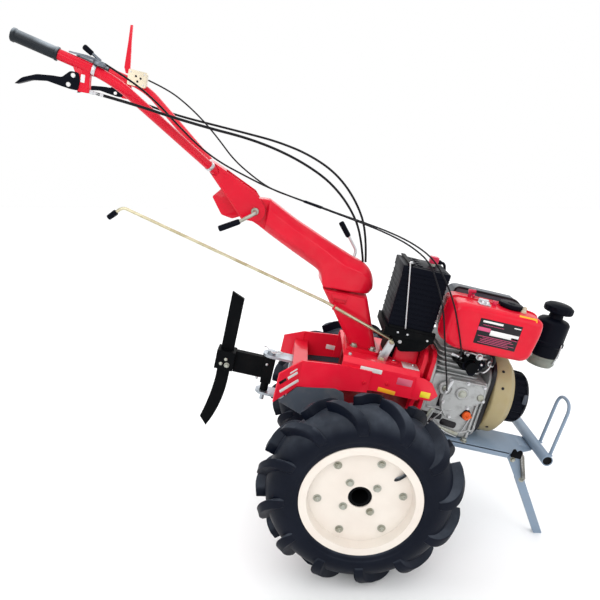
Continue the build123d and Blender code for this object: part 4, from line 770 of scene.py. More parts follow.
def sheet(middle, half, inset=0.8, soft=0.6):
    """Levels of flat sheet: half its thickness to each side of its middle, with a rim that is
    drawn in over the soft last bit."""
    low, high = middle - half, middle + half
    return [(low, inset), (low + soft, 0), (high - soft, 0), (high, inset)]


def rectangle(x0, x1, y0, y1):
    """The corners of a rectangle."""
    return [(x0, y0), (x1, y0), (x1, y1), (x0, y1)]


print("hardware ready")

# %% [markdown]
# ## Lugged tyres
#
# A farm tyre is a smooth carcass with tall rubber bars that slant from the middle of the tread to
# the shoulder and then run straight down the sidewall. The two sides' bars are staggered. The
# carcass is a profile turned about the axle. Each bar is a grid too: one parameter runs out along
# the bar, the other goes over its section, from one flank over the flat top to the other flank.

# %% Tyre shape
TRACK_HALF = 303  # from the middle of the machine to the middle of a tyre
BARS, BAR_START = 12, 13  # bars on each side, and the first one's place in degrees
BAR_STEPS, AROUND = 22, 144
TREAD_LINE = 262  # radius where a bar's width is measured
CARCASS = rounded([(0, 262), (22, 259.5), (40, 250), (53, 236), (61, 221), (64.2, 206),
                   (62.6, 190), (60, 184), (59, 176), (56, 171), (53, 168.5), (51.5, 153)], 7)
# nine stations out along a bar: (axial, radius) at its foot and top, lead in degrees, and width
BAR_FOOT = [(1, 257), (12, 257), (23, 254.5), (34, 249), (44, 241.5), (52, 232), (58, 222),
            (61.4, 213), (62.6, 205)]
BAR_TOP = [(1, 288.4), (12, 289.8), (24, 287.2), (36, 280.5), (48, 271.5), (57, 259),
           (63.4, 245), (66.8, 230), (66.8, 211)]
BAR_LEAD = [17.5, 14.6, 11.3, 7.9, 4.8, 2.2, 0.7, 0.0, 0.0]
BAR_WIDTH = [21, 25, 27, 29, 31, 33, 33, 31, 26]
FLANK = [(-0.62, 0), (-0.53, 0.5), (-0.49, 0.88), (-0.46, 0.97), (-0.42, 1), (-0.15, 0.98)]
ACROSS = np.array(FLANK + [(-x, height) for x, height in FLANK[::-1]])
foot, top, lead, width = (stretched(np.array(table, float), BAR_STEPS)
                          for table in (BAR_FOOT, BAR_TOP, BAR_LEAD, BAR_WIDTH))
print("bars stand", round(float((top - foot)[:, 1].max()), 1), "mm high")


# %% Tyres
def about_axle(axial, radius, angle, side):
    """Axle cylinder coordinates to the level drawing; the angle grows from the top back."""
    y = side * TRACK_HALF + axial * np.ones_like(angle)
    return np.stack([-radius * np.sin(angle), y, radius * np.cos(angle)], -1)


def tyre(node, side, body):
    """Carcass plus twice twelve bars. A bar point is foot + height * (top - foot), swung round
    the axle by its lead and by its place across the bar's width."""
    a = np.linspace(0, 2 * np.pi, AROUND, endpoint=False)
    loop = np.concatenate([CARCASS[::-1], CARCASS[1:] * (-1, 1)])
    carcass = about_axle(loop[:, 0, None], loop[:, 1, None], a[None], side)
    section = foot[:, None] + ACROSS[None, :, 1, None] * (top - foot)[:, None]
    swing = ACROSS[None, :, 0] * width[:, None] / TREAD_LINE
    grids = []
    for hand in (-1, 1):
        stagger = 0.5 if hand * side < 0 else 0
        for k in range(BARS):
            middle = np.radians(360 / BARS * (k + stagger) + BAR_START + lead)
            grids.append(about_axle(hand * section[..., 0], section[..., 1],
                                    middle[:, None] + swing, side))
    bars, bar_faces = skin([place(grid) for grid in grids])
    ring, ring_faces = skin([place(carcass)], wrap_rows=True)
    ring_faces = (np.array(ring_faces) + len(bars)).tolist()
    return new_piece("lugged_" + node, np.concatenate([bars, ring]), bar_faces + ring_faces,
                     "tyre_rubber", body, node, sharp=38)


for side, word in ((-1, "right"), (1, "left")):
    made = tyre("tyre_" + word, side, "wheel_" + word)
    print(made.name, len(made.data.polygons), "faces")

# %% [markdown]
# ## Wheel bolts and valve
#
# The rim is two dished halves bolted together by six bolts, and four more hold it to the hub. The
# heads are greenish zinc, and the rubber valve leans out of the dish. They are turned profiles
# that ride with their wheel.

# %% Wheel hardware
dull_zinc = metal("dull_zinc", (0.42, 0.43, 0.38), 0.4, (0.3, 0.28, 0.2), 0.6)
DISH_Y = 333.0
RIM_CIRCLE, HUB_CIRCLE, BOLT_ACROSS, BOLT_HEAD = 117, 54, 15, 7


def on_wheel(radius, degrees, side, out=0.0):
    """A point on the wheel's outer face; the angle grows from the top to the rear."""
    a = math.radians(degrees)
    return (-radius * math.sin(a), side * (DISH_Y + out), radius * math.cos(a))


def bolt_circle(radius, count, side, out=0.0):
    """Places of so many bolts, spread evenly round the wheel's outer face."""
    return [on_wheel(radius, 45 + 360 / count * k, side, out) for k in range(count)]


for side, word in ((-1, "right"), (1, "left")):
    out, wheel = (0, side, 0), "wheel_" + word
    rim = hexes(bolt_circle(RIM_CIRCLE, 6, side), out, BOLT_ACROSS, BOLT_HEAD)
    stud = buttons(bolt_circle(RIM_CIRCLE, 6, side, 8), out, 4.5, 4)
    build("rim_bolts_" + word, rim + stud, dull_zinc, wheel, sharp=40)
    hub = hexes(bolt_circle(HUB_CIRCLE, 4, side), out, BOLT_ACROSS, BOLT_HEAD)
    build("hub_bolts_" + word, hub, dull_zinc, wheel, sharp=40)
    stem = np.array([on_wheel(108, -47, side, -6), on_wheel(122, -46, side, 4),
                     on_wheel(140, -44, side, 9)])
    tip = stem[1:] + (stem[2] - stem[1]) * 0.25
    valve = [sweep(stem[:2], [7, 5.2], 14), sweep(stem[1:], 5.0, 14), sweep(tip, 4.0, 14)]
    build("valve_" + word, valve, "grip_rubber", wheel, sharp=50)
print("wheel hardware on both sides")

# %% [markdown]
# ## Fuel tank
#
# The tank is two pressed steel shells welded at a seam. Its near face is a flat panel with a wide
# soft shoulder. A loop with round corners is moved inwards along its own normals while it is
# lifted over a quarter circle, which is just how a press tool forms the shoulder.

# %% Tank shells
TANK = [(142, 556), (398, 556), (405, 524), (394, 424), (168, 420), (138, 442)]
TANK_FACE, SEAM_FAR, SEAM_NEAR, FAR_SHOULDER = -170, -98, -94, -42
NEAR_ROUND, FAR_ROUND = 20, 18
quarter = np.linspace(0, np.pi / 2, 7)
levels = [(TANK_FACE + NEAR_ROUND * (1 - math.sin(u)), NEAR_ROUND * (1 - math.cos(u)))
          for u in quarter[::-1]]
levels += [(SEAM_FAR, -1), (SEAM_FAR, -4.5), (SEAM_NEAR, -4.5), (SEAM_NEAR, -1)]
levels += [(FAR_SHOULDER + FAR_ROUND * math.sin(u), FAR_ROUND * (1 - math.cos(u)))
           for u in quarter] + [(-24, 26)]
shell = build("pressed_tank", [side_plate(TANK, 30, levels)], "red_paint", sharp=60,
              node="fuel_tank")
print("tank", shell.dimensions.to_tuple(3))

# %% [markdown]
# The filler cap is moulded plastic with finger ribs, so its section is a circle whose radius goes
# up and down round the rim: r * (1 + depth * cos(ribs * a)), only at the rim's height.


# %% Filler cap
def ribbed(body, centre, amount):
    """Scales a turned body round its upright axis: centre + (point - centre) * amount."""
    body[..., :2] = centre[:2] + (body[..., :2] - centre[:2]) * amount[..., None]
    return body


CAP = np.array([320, -95, 556])
CAP_RIBS, CAP_AROUND, CAP_GRIP_R = 24, 96, 30
cap = lathe([(0, 0), (0, 26), (3, 26), (3, 34), (13, 34), (15, 31), (15, 12), (16.5, 11),
             (16.5, 0)], CAP, UP, CAP_AROUND, 1.6)
wave = 0.022 * np.cos(np.arange(CAP_AROUND) * 2 * np.pi / CAP_AROUND * CAP_RIBS)
on_rim = np.linalg.norm(cap[..., :2] - CAP[:2], axis=-1) > CAP_GRIP_R
made = build("ribbed_cap", [ribbed(cap, CAP, 1 + wave * on_rim)], "black_plastic", sharp=50,
             node="fuel_cap")
print("cap", made.dimensions.to_tuple(3))

# %% [markdown]
# Round the cap sit a bright bracket that holds the tank, a small red tap, a red tab and a pale
# overflow nozzle. The plate on the near face is a plain dark field with pale blocks, and the strip
# on the shoulder is plain yellow: they carry no words.

# %% Plain colours
# This flat black serves print and black parts, and also painted shade in the case hollows, the foot
# slots and the box holes.
flat_black = paint("black_print_and_shade", (0.006, 0.005, 0.008), 0.34, coat=0.15, dust=0.0)
flat_white = paint("label_white", (0.82, 0.81, 0.8), 0.35, dust=0.02)
flat_pink = paint("label_pink", (0.66, 0.08, 0.2), 0.35, dust=0.0)
flat_yellow = paint("label_yellow", (0.95, 0.42, 0.02), 0.35, dust=0.0)
tap_red = paint("tap_red", (0.6, 0.01, 0.06), coat=0.4, dust=0.0)
ivory = paint("ivory_plastic", (0.62, 0.58, 0.44), 0.4, coat=0.1, dust=0.0)
print("plain colours ready")

# %% Tank fittings
bracket = [label((232, -128, 557), AHEAD, LEFT, 34, 26, 3, 4),
           label((232, -114, 562), AHEAD, UP, 30, 14, 3, 3),
           *hexes([(226, -132, 560), (240, -132, 560)], UP, 9, 5)]
build("tank_bracket", bracket, steel, sharp=40)
tap = [pipe([(203, -74, 552), (203, -74, 572)], 5),
       pipe([(196, -74, 574), (217, -74, 576)], 5.5),
       pipe([(212, -74, 566), (214, -82, 560)], 4)]
build("tank_tap", tap, tap_red, sharp=50)
tab = label((266, -112, 562), AHEAD, UP, 13, 16, 5, 3)
build("tank_tab", [tab], tap_red, sharp=50)
nozzle = turned([(0, 0), (0, 8), (8, 8), (9, 6), (20, 5), (20, 0)], (350, -120, 554),
                (0.1, 0, 1), 16)
build("overflow_nozzle", [nozzle], ivory, sharp=40)
strip = label((352, -161.5, 551.5), AHEAD, (0, 0.66, 0.75), 52, 12, 0.5)
build("shoulder_strip", [strip], flat_yellow)
print("tank fittings done")


# %% Tank plate
def print_blocks(name, rows, finish, corner):
    """Thin plain blocks (x, z, width, height) that stand half a millimetre off the plate."""
    blocks = [label((x, TANK_FACE - 0.5, z), AHEAD, UP, w, h, 0.3, corner) for x, z, w, h in rows]
    build(name, blocks, finish)


field = label((281, TANK_FACE, 490), AHEAD, UP, 121, 75, 0.5, 1.5)
build("tank_plate", [field], flat_black)
print_blocks("plate_white", [(258, 520, 58, 6), (329, 519, 20, 3), (299, 491, 82, 15)],
             flat_white, 0.5)
LINES, LINE_PITCH = 5, 4.6
lines = [(281 + (6 if k % 2 else -5), 477 - LINE_PITCH * k, 98 - 9 * (k % 3), 1.5)
         for k in range(LINES)]
print_blocks("plate_pink", [(239, 497, 36, 11), (330, 486, 20, 8), (262, 510, 60, 1.2), *lines],
             flat_pink, 0.4)
print("tank plate with", LINES, "fine lines")

# %% [markdown]
# ## Muffler guard and air cleaner
#
# The guard's front edge is beaded in black. The oil-bath cleaner is moulded plastic over a bowl in
# grey-green, with three spring clips and a cap whose rim has square ribs.

# %% Guard bead
GUARD_EDGE = [(180, -3, 424), (180, -3, 564), (368, -3, 564), (402, -3, 538), (402, -3, 424)]
build("guard_bead", [sweep(soft_outline(GUARD_EDGE, 14), 3.2, 8)], flat_black)
print("bead round the guard's front edge")

# %% Air cleaner
CLEANER = np.array([522.0, 30.0, 372.0])
CLEANER_RIBS, CLEANER_AROUND, RIB_DEPTH = 18, 72, 0.05
RIBS_FROM, RIBS_TO = 182, 195
body = lathe([(34, 0), (34, 44), (38, 48), (72, 48), (74, 51), (84, 51), (86, 48), (146, 48),
              (154, 41), (158, 22), (174, 20), (177, 40), (181, 44), (196, 44), (204, 33),
              (207, 20), (208, 0)], CLEANER, UP, CLEANER_AROUND, 2.5)
height = body[..., 2] - CLEANER[2]
turns = np.arange(CLEANER_AROUND) * 2 * np.pi / CLEANER_AROUND
hollow = (np.cos(turns * CLEANER_RIBS) > 0.3)[None] & (height > RIBS_FROM) & (height < RIBS_TO)
build("cleaner_body", [ribbed(body, CLEANER, 1 - RIB_DEPTH * hollow)], "black_plastic",
      sharp=45, node="air_cleaner")
bowl_paint = paint("bowl_grey_green", (0.2, 0.22, 0.19), 0.45, coat=0.15, dust=0.2)
bowl = lathe([(0, 0), (0, 38), (10, 44), (26, 44), (28, 46), (34, 46), (36, 44), (36, 0)],
             CLEANER, UP, 48, 2)
build("cleaner_bowl", [bowl], bowl_paint, sharp=45)
clips = []
for a in np.radians([-60, 60, 180]):
    out = np.array([math.cos(a), math.sin(a), 0])
    clips.append(pipe([CLEANER + r * out + (0, 0, z)
                       for r, z in ((46.5, 20), (49, 34), (53, 60), (52.5, 88))], 1.8))
build("cleaner_clips", clips, steel)
print("guard and cleaner done")

# %% [markdown]
# ## Engine
#
# The crankcase is a sand casting: soft corners, a flange at each end, a machined side cover with
# bolts round it, and webs where it needs strength. The outline is drawn in the side view and
# pressed out to its depth with a rounded rim, like the tank. At its front end a black plate
# carries the gold fan shroud.

# %% Crankcase
CASE = [(168, 306), (176, 314), (326, 318), (332, 306), (332, 126), (326, 120), (168, 120),
        (160, 132)]
CASE_LEVELS = [(-98, 7), (-98, 5), (-97, 2.6), (-94, 0.8), (-90, 0), (90, 0), (94, 0.8),
               (97, 2.6), (98, 5)]
COVER = [(206, 236), (214, 310), (329, 314), (336, 262), (305, 236), (288, 224), (266, 180),
         (234, 184), (216, 206)]
COVER_LEVELS = [(-112, 9), (-112, 6.5), (-113.5, 5.5), (-113.8, 2.4), (-112.5, 0.6), (-110, 0),
                (-96, -1)]
WEBS = [(322, 216, 9, 180, 0), (300, 140, 70, 7, 24), (190, 160, 7, 70, -14),
        (205, 206, 60, 7, 8), (312, 312, 40, 8, 0)]
front_flange = label((332, 0, 240), LEFT, UP, 210, 236, 9, 46)
rear_flange = label((158, 0, 262), LEFT, UP, 206, 190, 12, 40)
webs = [label((x, -97, z), AHEAD, UP, w, h, 7, 2, turn) for x, z, w, h, turn in WEBS]
case = [side_plate(CASE, 10, CASE_LEVELS), front_flange, rear_flange,
        side_plate(COVER, 12, COVER_LEVELS), *webs]
block = build("crankcase", case, "cast_aluminium", sharp=38, node="engine_block")
print("crankcase", len(block.data.polygons), "faces")

# %% Side cover details
boss = lathe([(0, 0), (0, 20), (5, 19), (7, 15), (5, 13.5), (5, 0)], (262, -112, 272), RIGHT)
port = lathe([(0, 0), (0, 23), (4, 22), (8, 18), (8, 13), (4, 12), (4, 0)], (212, -104, 274),
             RIGHT)
build("case_bosses", [boss, port], "cast_aluminium", sharp=40)
plugs = hexes([(262, -116, 272)], RIGHT, 17, 4)
plugs += buttons([(212, -108, 274), (320, -113, 270)], RIGHT, 11, 4)
build("case_plugs", plugs, dull_zinc, sharp=40)
COVER_BOLTS = [(220, 304), (270, 307), (322, 306), (330, 262), (292, 230), (246, 190),
               (214, 234)]
bolts = hexes([(x, -113, z) for x, z in COVER_BOLTS], RIGHT, 9, 5, 1.25)
build("cover_bolts", bolts, steel, sharp=40)
print(len(COVER_BOLTS), "bolts round the side cover")

# %% Oil filler
FILLER_AXIS = (0.2, -1, 0.1)
orange = paint("orange_plastic", (0.85, 0.12, 0.015), 0.34, coat=0.2, dust=0.02)
cap = lathe([(0, 0), (0, 14), (9, 14), (11, 12), (11, 5), (17, 4), (17, 0)],
            (298, -104, 202), FILLER_AXIS, 12)
wing = label((300, -124, 203), (0.8, 0, 0.6), (-0.6, 0, 0.8), 22, 5, 3, 1.5)
build("oil_filler_cap", [cap, wing], orange, sharp=30)
neck = lathe([(0, 0), (0, 17), (12, 16), (12, 0)], (296, -94, 203), FILLER_AXIS, 24, 2)
build("oil_filler_neck", [neck], "black_plastic", sharp=40)
print("oil filler done")

# %% [markdown]
# The back plate and the shroud are pressed sheet. The shroud is turned about the crankshaft with a
# rolled rim and shallow steps, and small screws hold it. The recoil starter's plastic cover has
# air notches round its side and a small dark grey plate where the pull rope comes out. The plate's
# grey, lighter than the black cover, is partly a painted highlight on the cover's side.

# %% Back plate and shroud
CRANK = np.array([345, 0, 256])
SCREW_CIRCLE = 124
plate = label((338, 0, 258), LEFT, UP, 218, 250, 14, 60)
build("back_plate", [plate], flat_black, sharp=40)
shroud = lathe([(6, 0), (6, 122), (10, 126), (40, 127), (52, 127), (62, 122), (68, 112),
                (76, 108), (80, 96), (80, 0)], CRANK, AHEAD, 96, 5, 4)
build("fan_shroud", [shroud], "gold_paint", sharp=50, node="fan_housing")
screws = []
for a in np.radians([38, 62, 128, 158]):
    out = np.array([0, -math.sin(a), math.cos(a)])
    screws.append(turned([(0, 0), (0, 4.5), (4, 4.5), (5, 0)],
                         CRANK + (30, 0, 0) + SCREW_CIRCLE * out, out, 12))
build("shroud_screws", screws, flat_black, sharp=40)
print(len(screws), "shroud screws")

# %% Recoil starter
RECOIL_R, RECOIL_AROUND, NOTCHES, NOTCH_DEPTH = 84, 120, 20, 0.955
NOTCH_FROM, NOTCH_TO = 96, 126
profile = rounded([(78, 0), (78, RECOIL_R - 2), (92, RECOIL_R), (128, RECOIL_R - 2),
                   (138, RECOIL_R - 10), (141, RECOIL_R - 20), (141, 30), (136, 26), (136, 0)], 3)
after = int(np.argmax(profile[:, 0] > NOTCH_FROM - 1))
rows = [(d, RECOIL_R - (d - 92) / 18) for d in (96.5, 97.5, 124.5, 125.5)]
profile = np.concatenate([profile[:after], rows, profile[after:]])
recoil = turned(profile, CRANK, AHEAD, RECOIL_AROUND)
depth = recoil[..., 0] - CRANK[0]
turns = np.arange(RECOIL_AROUND) * 2 * np.pi / RECOIL_AROUND
notch = (np.cos(turns * NOTCHES) > 0.2)[None] & (depth > NOTCH_FROM) & (depth < NOTCH_TO)
shrink = np.where(notch, NOTCH_DEPTH, 1.0)[..., None]
recoil[..., 1:] = CRANK[1:] + (recoil[..., 1:] - CRANK[1:]) * shrink
build("recoil_cover", [recoil], "black_plastic", sharp=35, node="recoil_starter")
# The rope plate's grey is partly a painted highlight on the side of the black cover.
rope_plate_grey_and_sheen = paint("rope_plate_grey_and_highlight", (0.045, 0.055, 0.075), dust=0.0)
rope_plate = label((468, -79.5, 283), (1, 0, 0.1), (0, 0.3, 1), 13, 30, 2, 4, -6)
build("rope_plate", [rope_plate], rope_plate_grey_and_sheen, sharp=40)
print("fan side done")

# %% [markdown]
# ## Fuel pump, pipes and governor linkage
#
# The near side carries the pump with its steel pipe to the injector, the rubber fuel hose, the
# stop arm that the cable pulls, and thin governor rods with springs low on the case. Pipes and
# rods are swept along smooth lines through a few points. The hollows between the ribs of the
# casting are painted shade: only thin dark fields, since nothing in them shows.

# %% Fuel pump
PUMP_DRUMS = [((243, -106, 367), 15, 22), ((272, -106, 369), 19, 18), ((262, -108, 350), 13, 18),
              ((290, -100, 374), 11, 14)]  # place, radius and depth of each
drums = [lathe([(0, 0), (0, r), (d, r), (d + 1.5, r - 3), (d + 1.5, 0)], at, RIGHT, 28)
         for at, r, d in PUMP_DRUMS]
build("pump_drums", drums, "black_plastic", sharp=40)
PUMP_SCREWS = [(243, -130, 367), (268, -126, 372), (276, -126, 362), (262, -129, 350),
               (283, -126, 378)]
build("pump_screws", buttons(PUMP_SCREWS, RIGHT, 4.2, 3.5), steel)
fuel_pipe = pipe([(240, -104, 392), (236, -118, 402), (246, -128, 408), (264, -128, 404),
                  (282, -120, 396), (300, -108, 392)], 3.2)
high_pipe = pipe([(286, -112, 352), (300, -122, 356), (312, -118, 374), (318, -104, 396),
                  (312, -84, 416)], 2.6)
build("fuel_pipes", [fuel_pipe, high_pipe], steel)
banjos = hexes([(318, -104, 380), (240, -108, 396), (268, -130, 402)], RIGHT, 13, 10)
build("banjos", banjos, steel, sharp=40)
hose = pipe([(300, -112, 418), (312, -124, 408), (318, -122, 392), (320, -112, 380)], 4.6, 12)
build("fuel_hose", [hose], cable_skin)
print("pump of", len(drums), "drums")

# %% Control arms and governor
arms = [label((214, -120, 284), (0.25, 0, 1), (-1, 0, 0.25), 44, 9, 3, 3),
        label((206, -122, 386), (1, 0, -0.3), (0.3, 0, 1), 34, 9, 3, 3)]
build("control_arms", arms, steel, sharp=40)
RODS = [[(196, -104, 206), (224, -108, 204), (250, -106, 196)],
        [(200, -104, 160), (216, -112, 190), (224, -108, 206)],
        [(214, -106, 262), (222, -110, 232), (238, -108, 208)],
        [(192, -104, 150), (230, -110, 144), (262, -108, 132), (296, -102, 122)],
        [(316, -101, 196), (306, -103, 160), (296, -101, 124)]]
build("governor_rods", [pipe(points, 1.7, 8) for points in RODS], steel)
springs = [coil((226, -110, 206), (262, -108, 214), 3.4, 0.8, 9),
           coil((196, -108, 168), (232, -108, 150), 3.2, 0.8, 8)]
build("governor_springs", springs, steel)
levers = [label((186, -96, 168), (0.3, 0, 1), (-1, 0, 0.3), 74, 12, 4, 4),
          label((250, -102, 140), (1, 0, -0.18), (0.18, 0, 1), 90, 12, 4, 4)]
build("governor_lever", levers, dull_zinc, sharp=40)
# Painted shade: thin black fields where the hollows between the ribs lie in shade.
shade_fields = [label((188, -97.5, 150), AHEAD, UP, 40, 44, 1.0, 10),
           label((256, -97.8, 160), (1, 0, -0.1), (0.1, 0, 1), 52, 22, 1.0, 8),
           label((214, -97.6, 226), AHEAD, UP, 22, 60, 1.0, 6)]
build("case_shade_fields", shade_fields, flat_black)
starter = lathe([(0, 0), (0, 24), (64, 24), (66, 20), (66, 0)], (166, -76, 176), AHEAD, 32, 2)
build("starter_motor", [starter], flat_black, sharp=40)
print("engine dressed")

# %% [markdown]
# ## Steering beam
#
# The beam is two pressed halves welded into a box with wide soft shoulders and a blunt round
# nose over the column. It is lofted: every station has a bottom point, a top point, a half width,
# and a share that says how square its lower half is, since the seat on the column is flat.

# %% Beam stations
STATIONS = np.array([  # bottom x, z, top x, z, half width, squareness below
    (-426, 607, -426, 696, 42, 0), (-420, 603, -420, 695, 46, 0),
    (-380, 584, -380, 676, 46, 0), (-339, 565, -340, 657, 46, 0),
    (-290, 543, -300, 641, 46, 0), (-246, 523, -258, 624, 46, 0.2),
    (-231, 505, -218, 608, 46, 0.7), (-221, 483, -183, 595, 46, 1),
    (-190, 483, -150, 583, 46, 1), (-160, 483, -122, 575, 45.5, 1),
    (-132, 483, -99, 564, 44, 1), (-106, 483, -82, 548, 39, 1), (-86, 483, -70, 526, 30, 1),
    (-76, 483, -64, 506, 19, 1)], float)
# a quarter of the section, from its side up to the middle of its top: shares of the half height
# and of the half width
SHOULDERED = np.array([(0, 1), (0.36, 1), (0.43, 0.985), (0.5, 0.94), (0.84, 0.56),
                       (0.92, 0.45), (0.97, 0.3), (1, 0.12)])
SQUARE = np.array([(0, 1), (0.36, 1), (0.6, 1), (0.8, 1), (0.91, 1), (0.97, 0.99), (1, 0.95),
                   (1, 0.12)])
SEAT_Z, SEAT_FROM, SEAT_RUN = 482.6, -232, 11  # flat seat on the column, and where it begins
BELOW_ALL = 400
print(len(STATIONS), "stations along the beam")


# %% Beam shell
def beam_loft(stations, steps):
    """Section point = middle + h * half height + w * half width * y, for pairs (h, w) round the
    loop. Over the column no point may be lower than the seat."""
    rows = stretched(stations, steps)
    squareness = rows[:, None, 5:6]
    low = squareness * SQUARE + (1 - squareness) * SHOULDERED
    up = np.broadcast_to(SHOULDERED, low.shape)
    loop = np.concatenate([up, (up * (1, -1))[:, ::-1], low * (-1, -1),
                           (low * (-1, 1))[:, ::-1]], 1)
    bottom, crest = rows[:, :2], rows[:, 2:4]
    middle, half = (bottom + crest) / 2, (crest - bottom) / 2
    side = middle[:, None] + loop[..., :1] * half[:, None]
    x, z = side[..., 0], side[..., 1]
    seat = np.clip((x - SEAT_FROM) / SEAT_RUN, 0, 1)
    held = np.maximum(z, SEAT_Z * seat + (1 - seat) * BELOW_ALL)
    return np.stack([x, loop[..., 1] * rows[:, None, 4], np.where(seat > 0, held, z)], -1)


EAR = [(-416, 604), (-456, 624), (-490, 632), (-498, 660), (-482, 690), (-446, 693),
       (-416, 696)]
ear = side_plate(EAR, 16, [(-24, 3), (-23.2, 0.8), (-22, 0), (22, 0), (23.2, 0.8), (24, 3)])
build("beam_shell", [beam_loft(STATIONS, 90), ear], "red_paint", "beam", True, sharp=50,
      node="steering_beam")
SECTOR = [(-586, 668), (-563, 697), (-500, 676), (-470, 655), (-486, 636), (-520, 618),
          (-552, 623)]
sector = side_plate(SECTOR, 4, sheet(0, 4, 1, 0.8))
build("sector_plate", [sector], "red_paint", "beam", True, sharp=40, node="lock_sector")
print("beam shell and sector plate")

# %% [markdown]
# The swivel lever and the height lever are bent rods with black sleeves. The shift rod is one long
# zinc-plated rod with a hooked end and a black knob, and it ends in a flat strap on the deck.

# %% Swivel lever
swivel_rod = bent_rod([(-134, 38, 556), (-130, 48, 592), (-168, 56, 636)], 10, 4.6, 12, 5)
nut = hexes([(-134, 34, 566)], (0, -1, 0.3), 10, 5)
build("swivel_rod", [swivel_rod, *nut], steel, "beam", True, sharp=40)
sleeve = lathe([(0, 0), (0, 6.5), (6, 8.3), (48, 8.5), (52, 7), (52, 0)], (-161, 56, 627),
               (-37, 5, 42), 24, 2)
build("swivel_grip", [sleeve], "black_plastic", "beam", True, sharp=50,
      node="swivel_lock_lever")
print("swivel lever")

# %% Shift rod
SHIFT_Y = -76
shift_line = [(-842, SHIFT_Y, 560), (-820, SHIFT_Y, 584), (-201, SHIFT_Y, 446),
              (20, SHIFT_Y, 376)]
build("shift_bar", [bent_rod(shift_line, 14, 4.5, 14, 6)], "zinc_steel", sharp=50,
      node="shift_rod")
knob = lathe([(0, 0), (0, 7.6), (28, 8.5), (31, 6), (31, 0)], (-856, SHIFT_Y, 545),
             (27, 0, 29), 24, 2)
build("shift_knob", [knob], "black_plastic", sharp=50)
strap = side_plate([(10, 379), (27, 384), (31, 368), (18, 304), (-4, 302), (-8, 314)], 9,
                   [(-87, 1.4), (-86.2, 0), (-82, 0), (-81, 1.2)])
foot_block = flat_plate(rectangle(-5, 21, -81, -69), 3, [(310, 0), (332, 0), (334, 1.4)])
build("shift_strap", [strap, foot_block], steel, sharp=40, node="shift_arm")
bolts = hexes([(20, -87, 374), (5, -87, 311)], RIGHT, 11, 5, 1.3)
build("strap_bolts", bolts, "zinc_steel", sharp=40)
print("levers and shift rod")

# %% [markdown]
# ## Battery
#
# A moulded polypropylene case: soft corners, thin stiffening ribs round it, and a lid that
# overhangs a little. One outline is stacked upwards, and each level says how far it is drawn in, so
# the ribs run round the corners as they do in the mould. A bright hooked rod holds it to its tray.

# %% Battery case
BATTERY = rectangle(-14, 124, -112, 38)
CASE_RIBS, RIB_START, RIB_PITCH = 9, 446, 15.2
levels = [(427, 6), (427, 3.5), (429, 2.4)]
for k in range(CASE_RIBS):
    z = RIB_START + RIB_PITCH * k
    levels += [(z, 2.4), (z + 0.6, 0.8), (z + 2.6, 0.8), (z + 3.2, 2.4)]
levels += [(584, 2.4), (585, 0.2), (592, 0.2), (592.8, 1.2), (594, 1.2), (594.8, 0), (609, 0),
           (611.2, 0.8), (612, 3)]
case = flat_plate(BATTERY, 7, levels, 4)
field = flat_plate(BATTERY, 7, [(611.6, 12), (613.4, 12.4), (614, 14)], 4)
caps = [lathe([(0, 0), (0, 9), (2.6, 9), (3.4, 7.6), (3.4, 0)], (x, y, 613.6), UP, 20, 0.6, 2)
        for x in (14, 36) for y in (-84, -56, -28, 0)]
made = build("ribbed_battery", [case, field, *caps], "black_plastic", sharp=40,
             node="battery")
print("battery", len(made.data.polygons), "faces")

# %% Posts and lead
posts = [lathe([(0, 0), (0, 8), (tall, 7), (tall, 0)], (x, y, 612), UP, 20, 1, 2)
         for x, y, tall in ((82, -40, 12), (106, 5, 9))]
build("battery_posts", posts, dull_zinc, sharp=40)
boot = flat_plate(rectangle(69, 94, -51, -29), 4, [(623, 0), (640, 0), (642.5, 0.8), (643, 3)])
build("terminal_boot", [boot], tap_red, sharp=40)
clamp = flat_plate(rectangle(96, 117, -6, 16), 3, [(617, 0), (626, 0), (627.5, 0.8), (628, 3)])
lead = pipe([(112, 6, 622), (128, 10, 618), (136, 14, 596), (138, 20, 560), (142, 40, 500),
             (150, 62, 430), (168, 84, 372), (196, 98, 336)], 4.2, 12, 8)
build("negative_lead", [clamp, lead], "black_plastic", sharp=40)
print("two posts and one lead")

# %% Hold-down and tray
hook = pipe([(6, -100, 619), (2, -108, 620.5), (1, -115, 617), (4, -116, 604),
             (20, -116.5, 528), (38, -116.5, 441), (40, -112, 434), (40, -104, 432)],
            2.2, 10, 10)
hook_nut = hexes([(6, -100, 618)], UP, 8, 5)
build("hold_down_rod", [hook, *hook_nut], steel, sharp=40)
strap = label((5, -37, 616), LEFT, (-1, 0, 0), 148, 14, 3, 3)
build("hold_down_strap", [strap], "black_steel", sharp=40)
SKIRT = [(-12, 434), (122, 434), (126, 402), (104, 372), (42, 358), (18, 384)]
skirt = side_plate(SKIRT, 8, sheet(-110.7, 2.3, 1.2))
tray_ear = label((121, -109, 418), AHEAD, UP, 22, 34, 3, 4)
build("tray_skirt", [skirt, tray_ear], "black_steel", sharp=40)
tray_bolts = buttons([(22, -113, 416), (51, -113, 415)], RIGHT, 6.5, 3.5)
tray_bolts += hexes([(36, -113, 388), (112, -112, 410)], RIGHT, 7, 4)
build("tray_bolts", tray_bolts, steel, sharp=40)
print("battery held by a rod and a strap")

# %% [markdown]
# ## Deck and side plates
#
# The red body is folded sheet. Its front lower corner stands forward of the deck as a plain nose
# that is welded on. Bolts hold the column foot, and a ring bolt sits beside it. Plain labels lie
# on the top, the sides and the wings. They are blank: white, yellow, orange, faded pink or black
# fields where a maker would print.

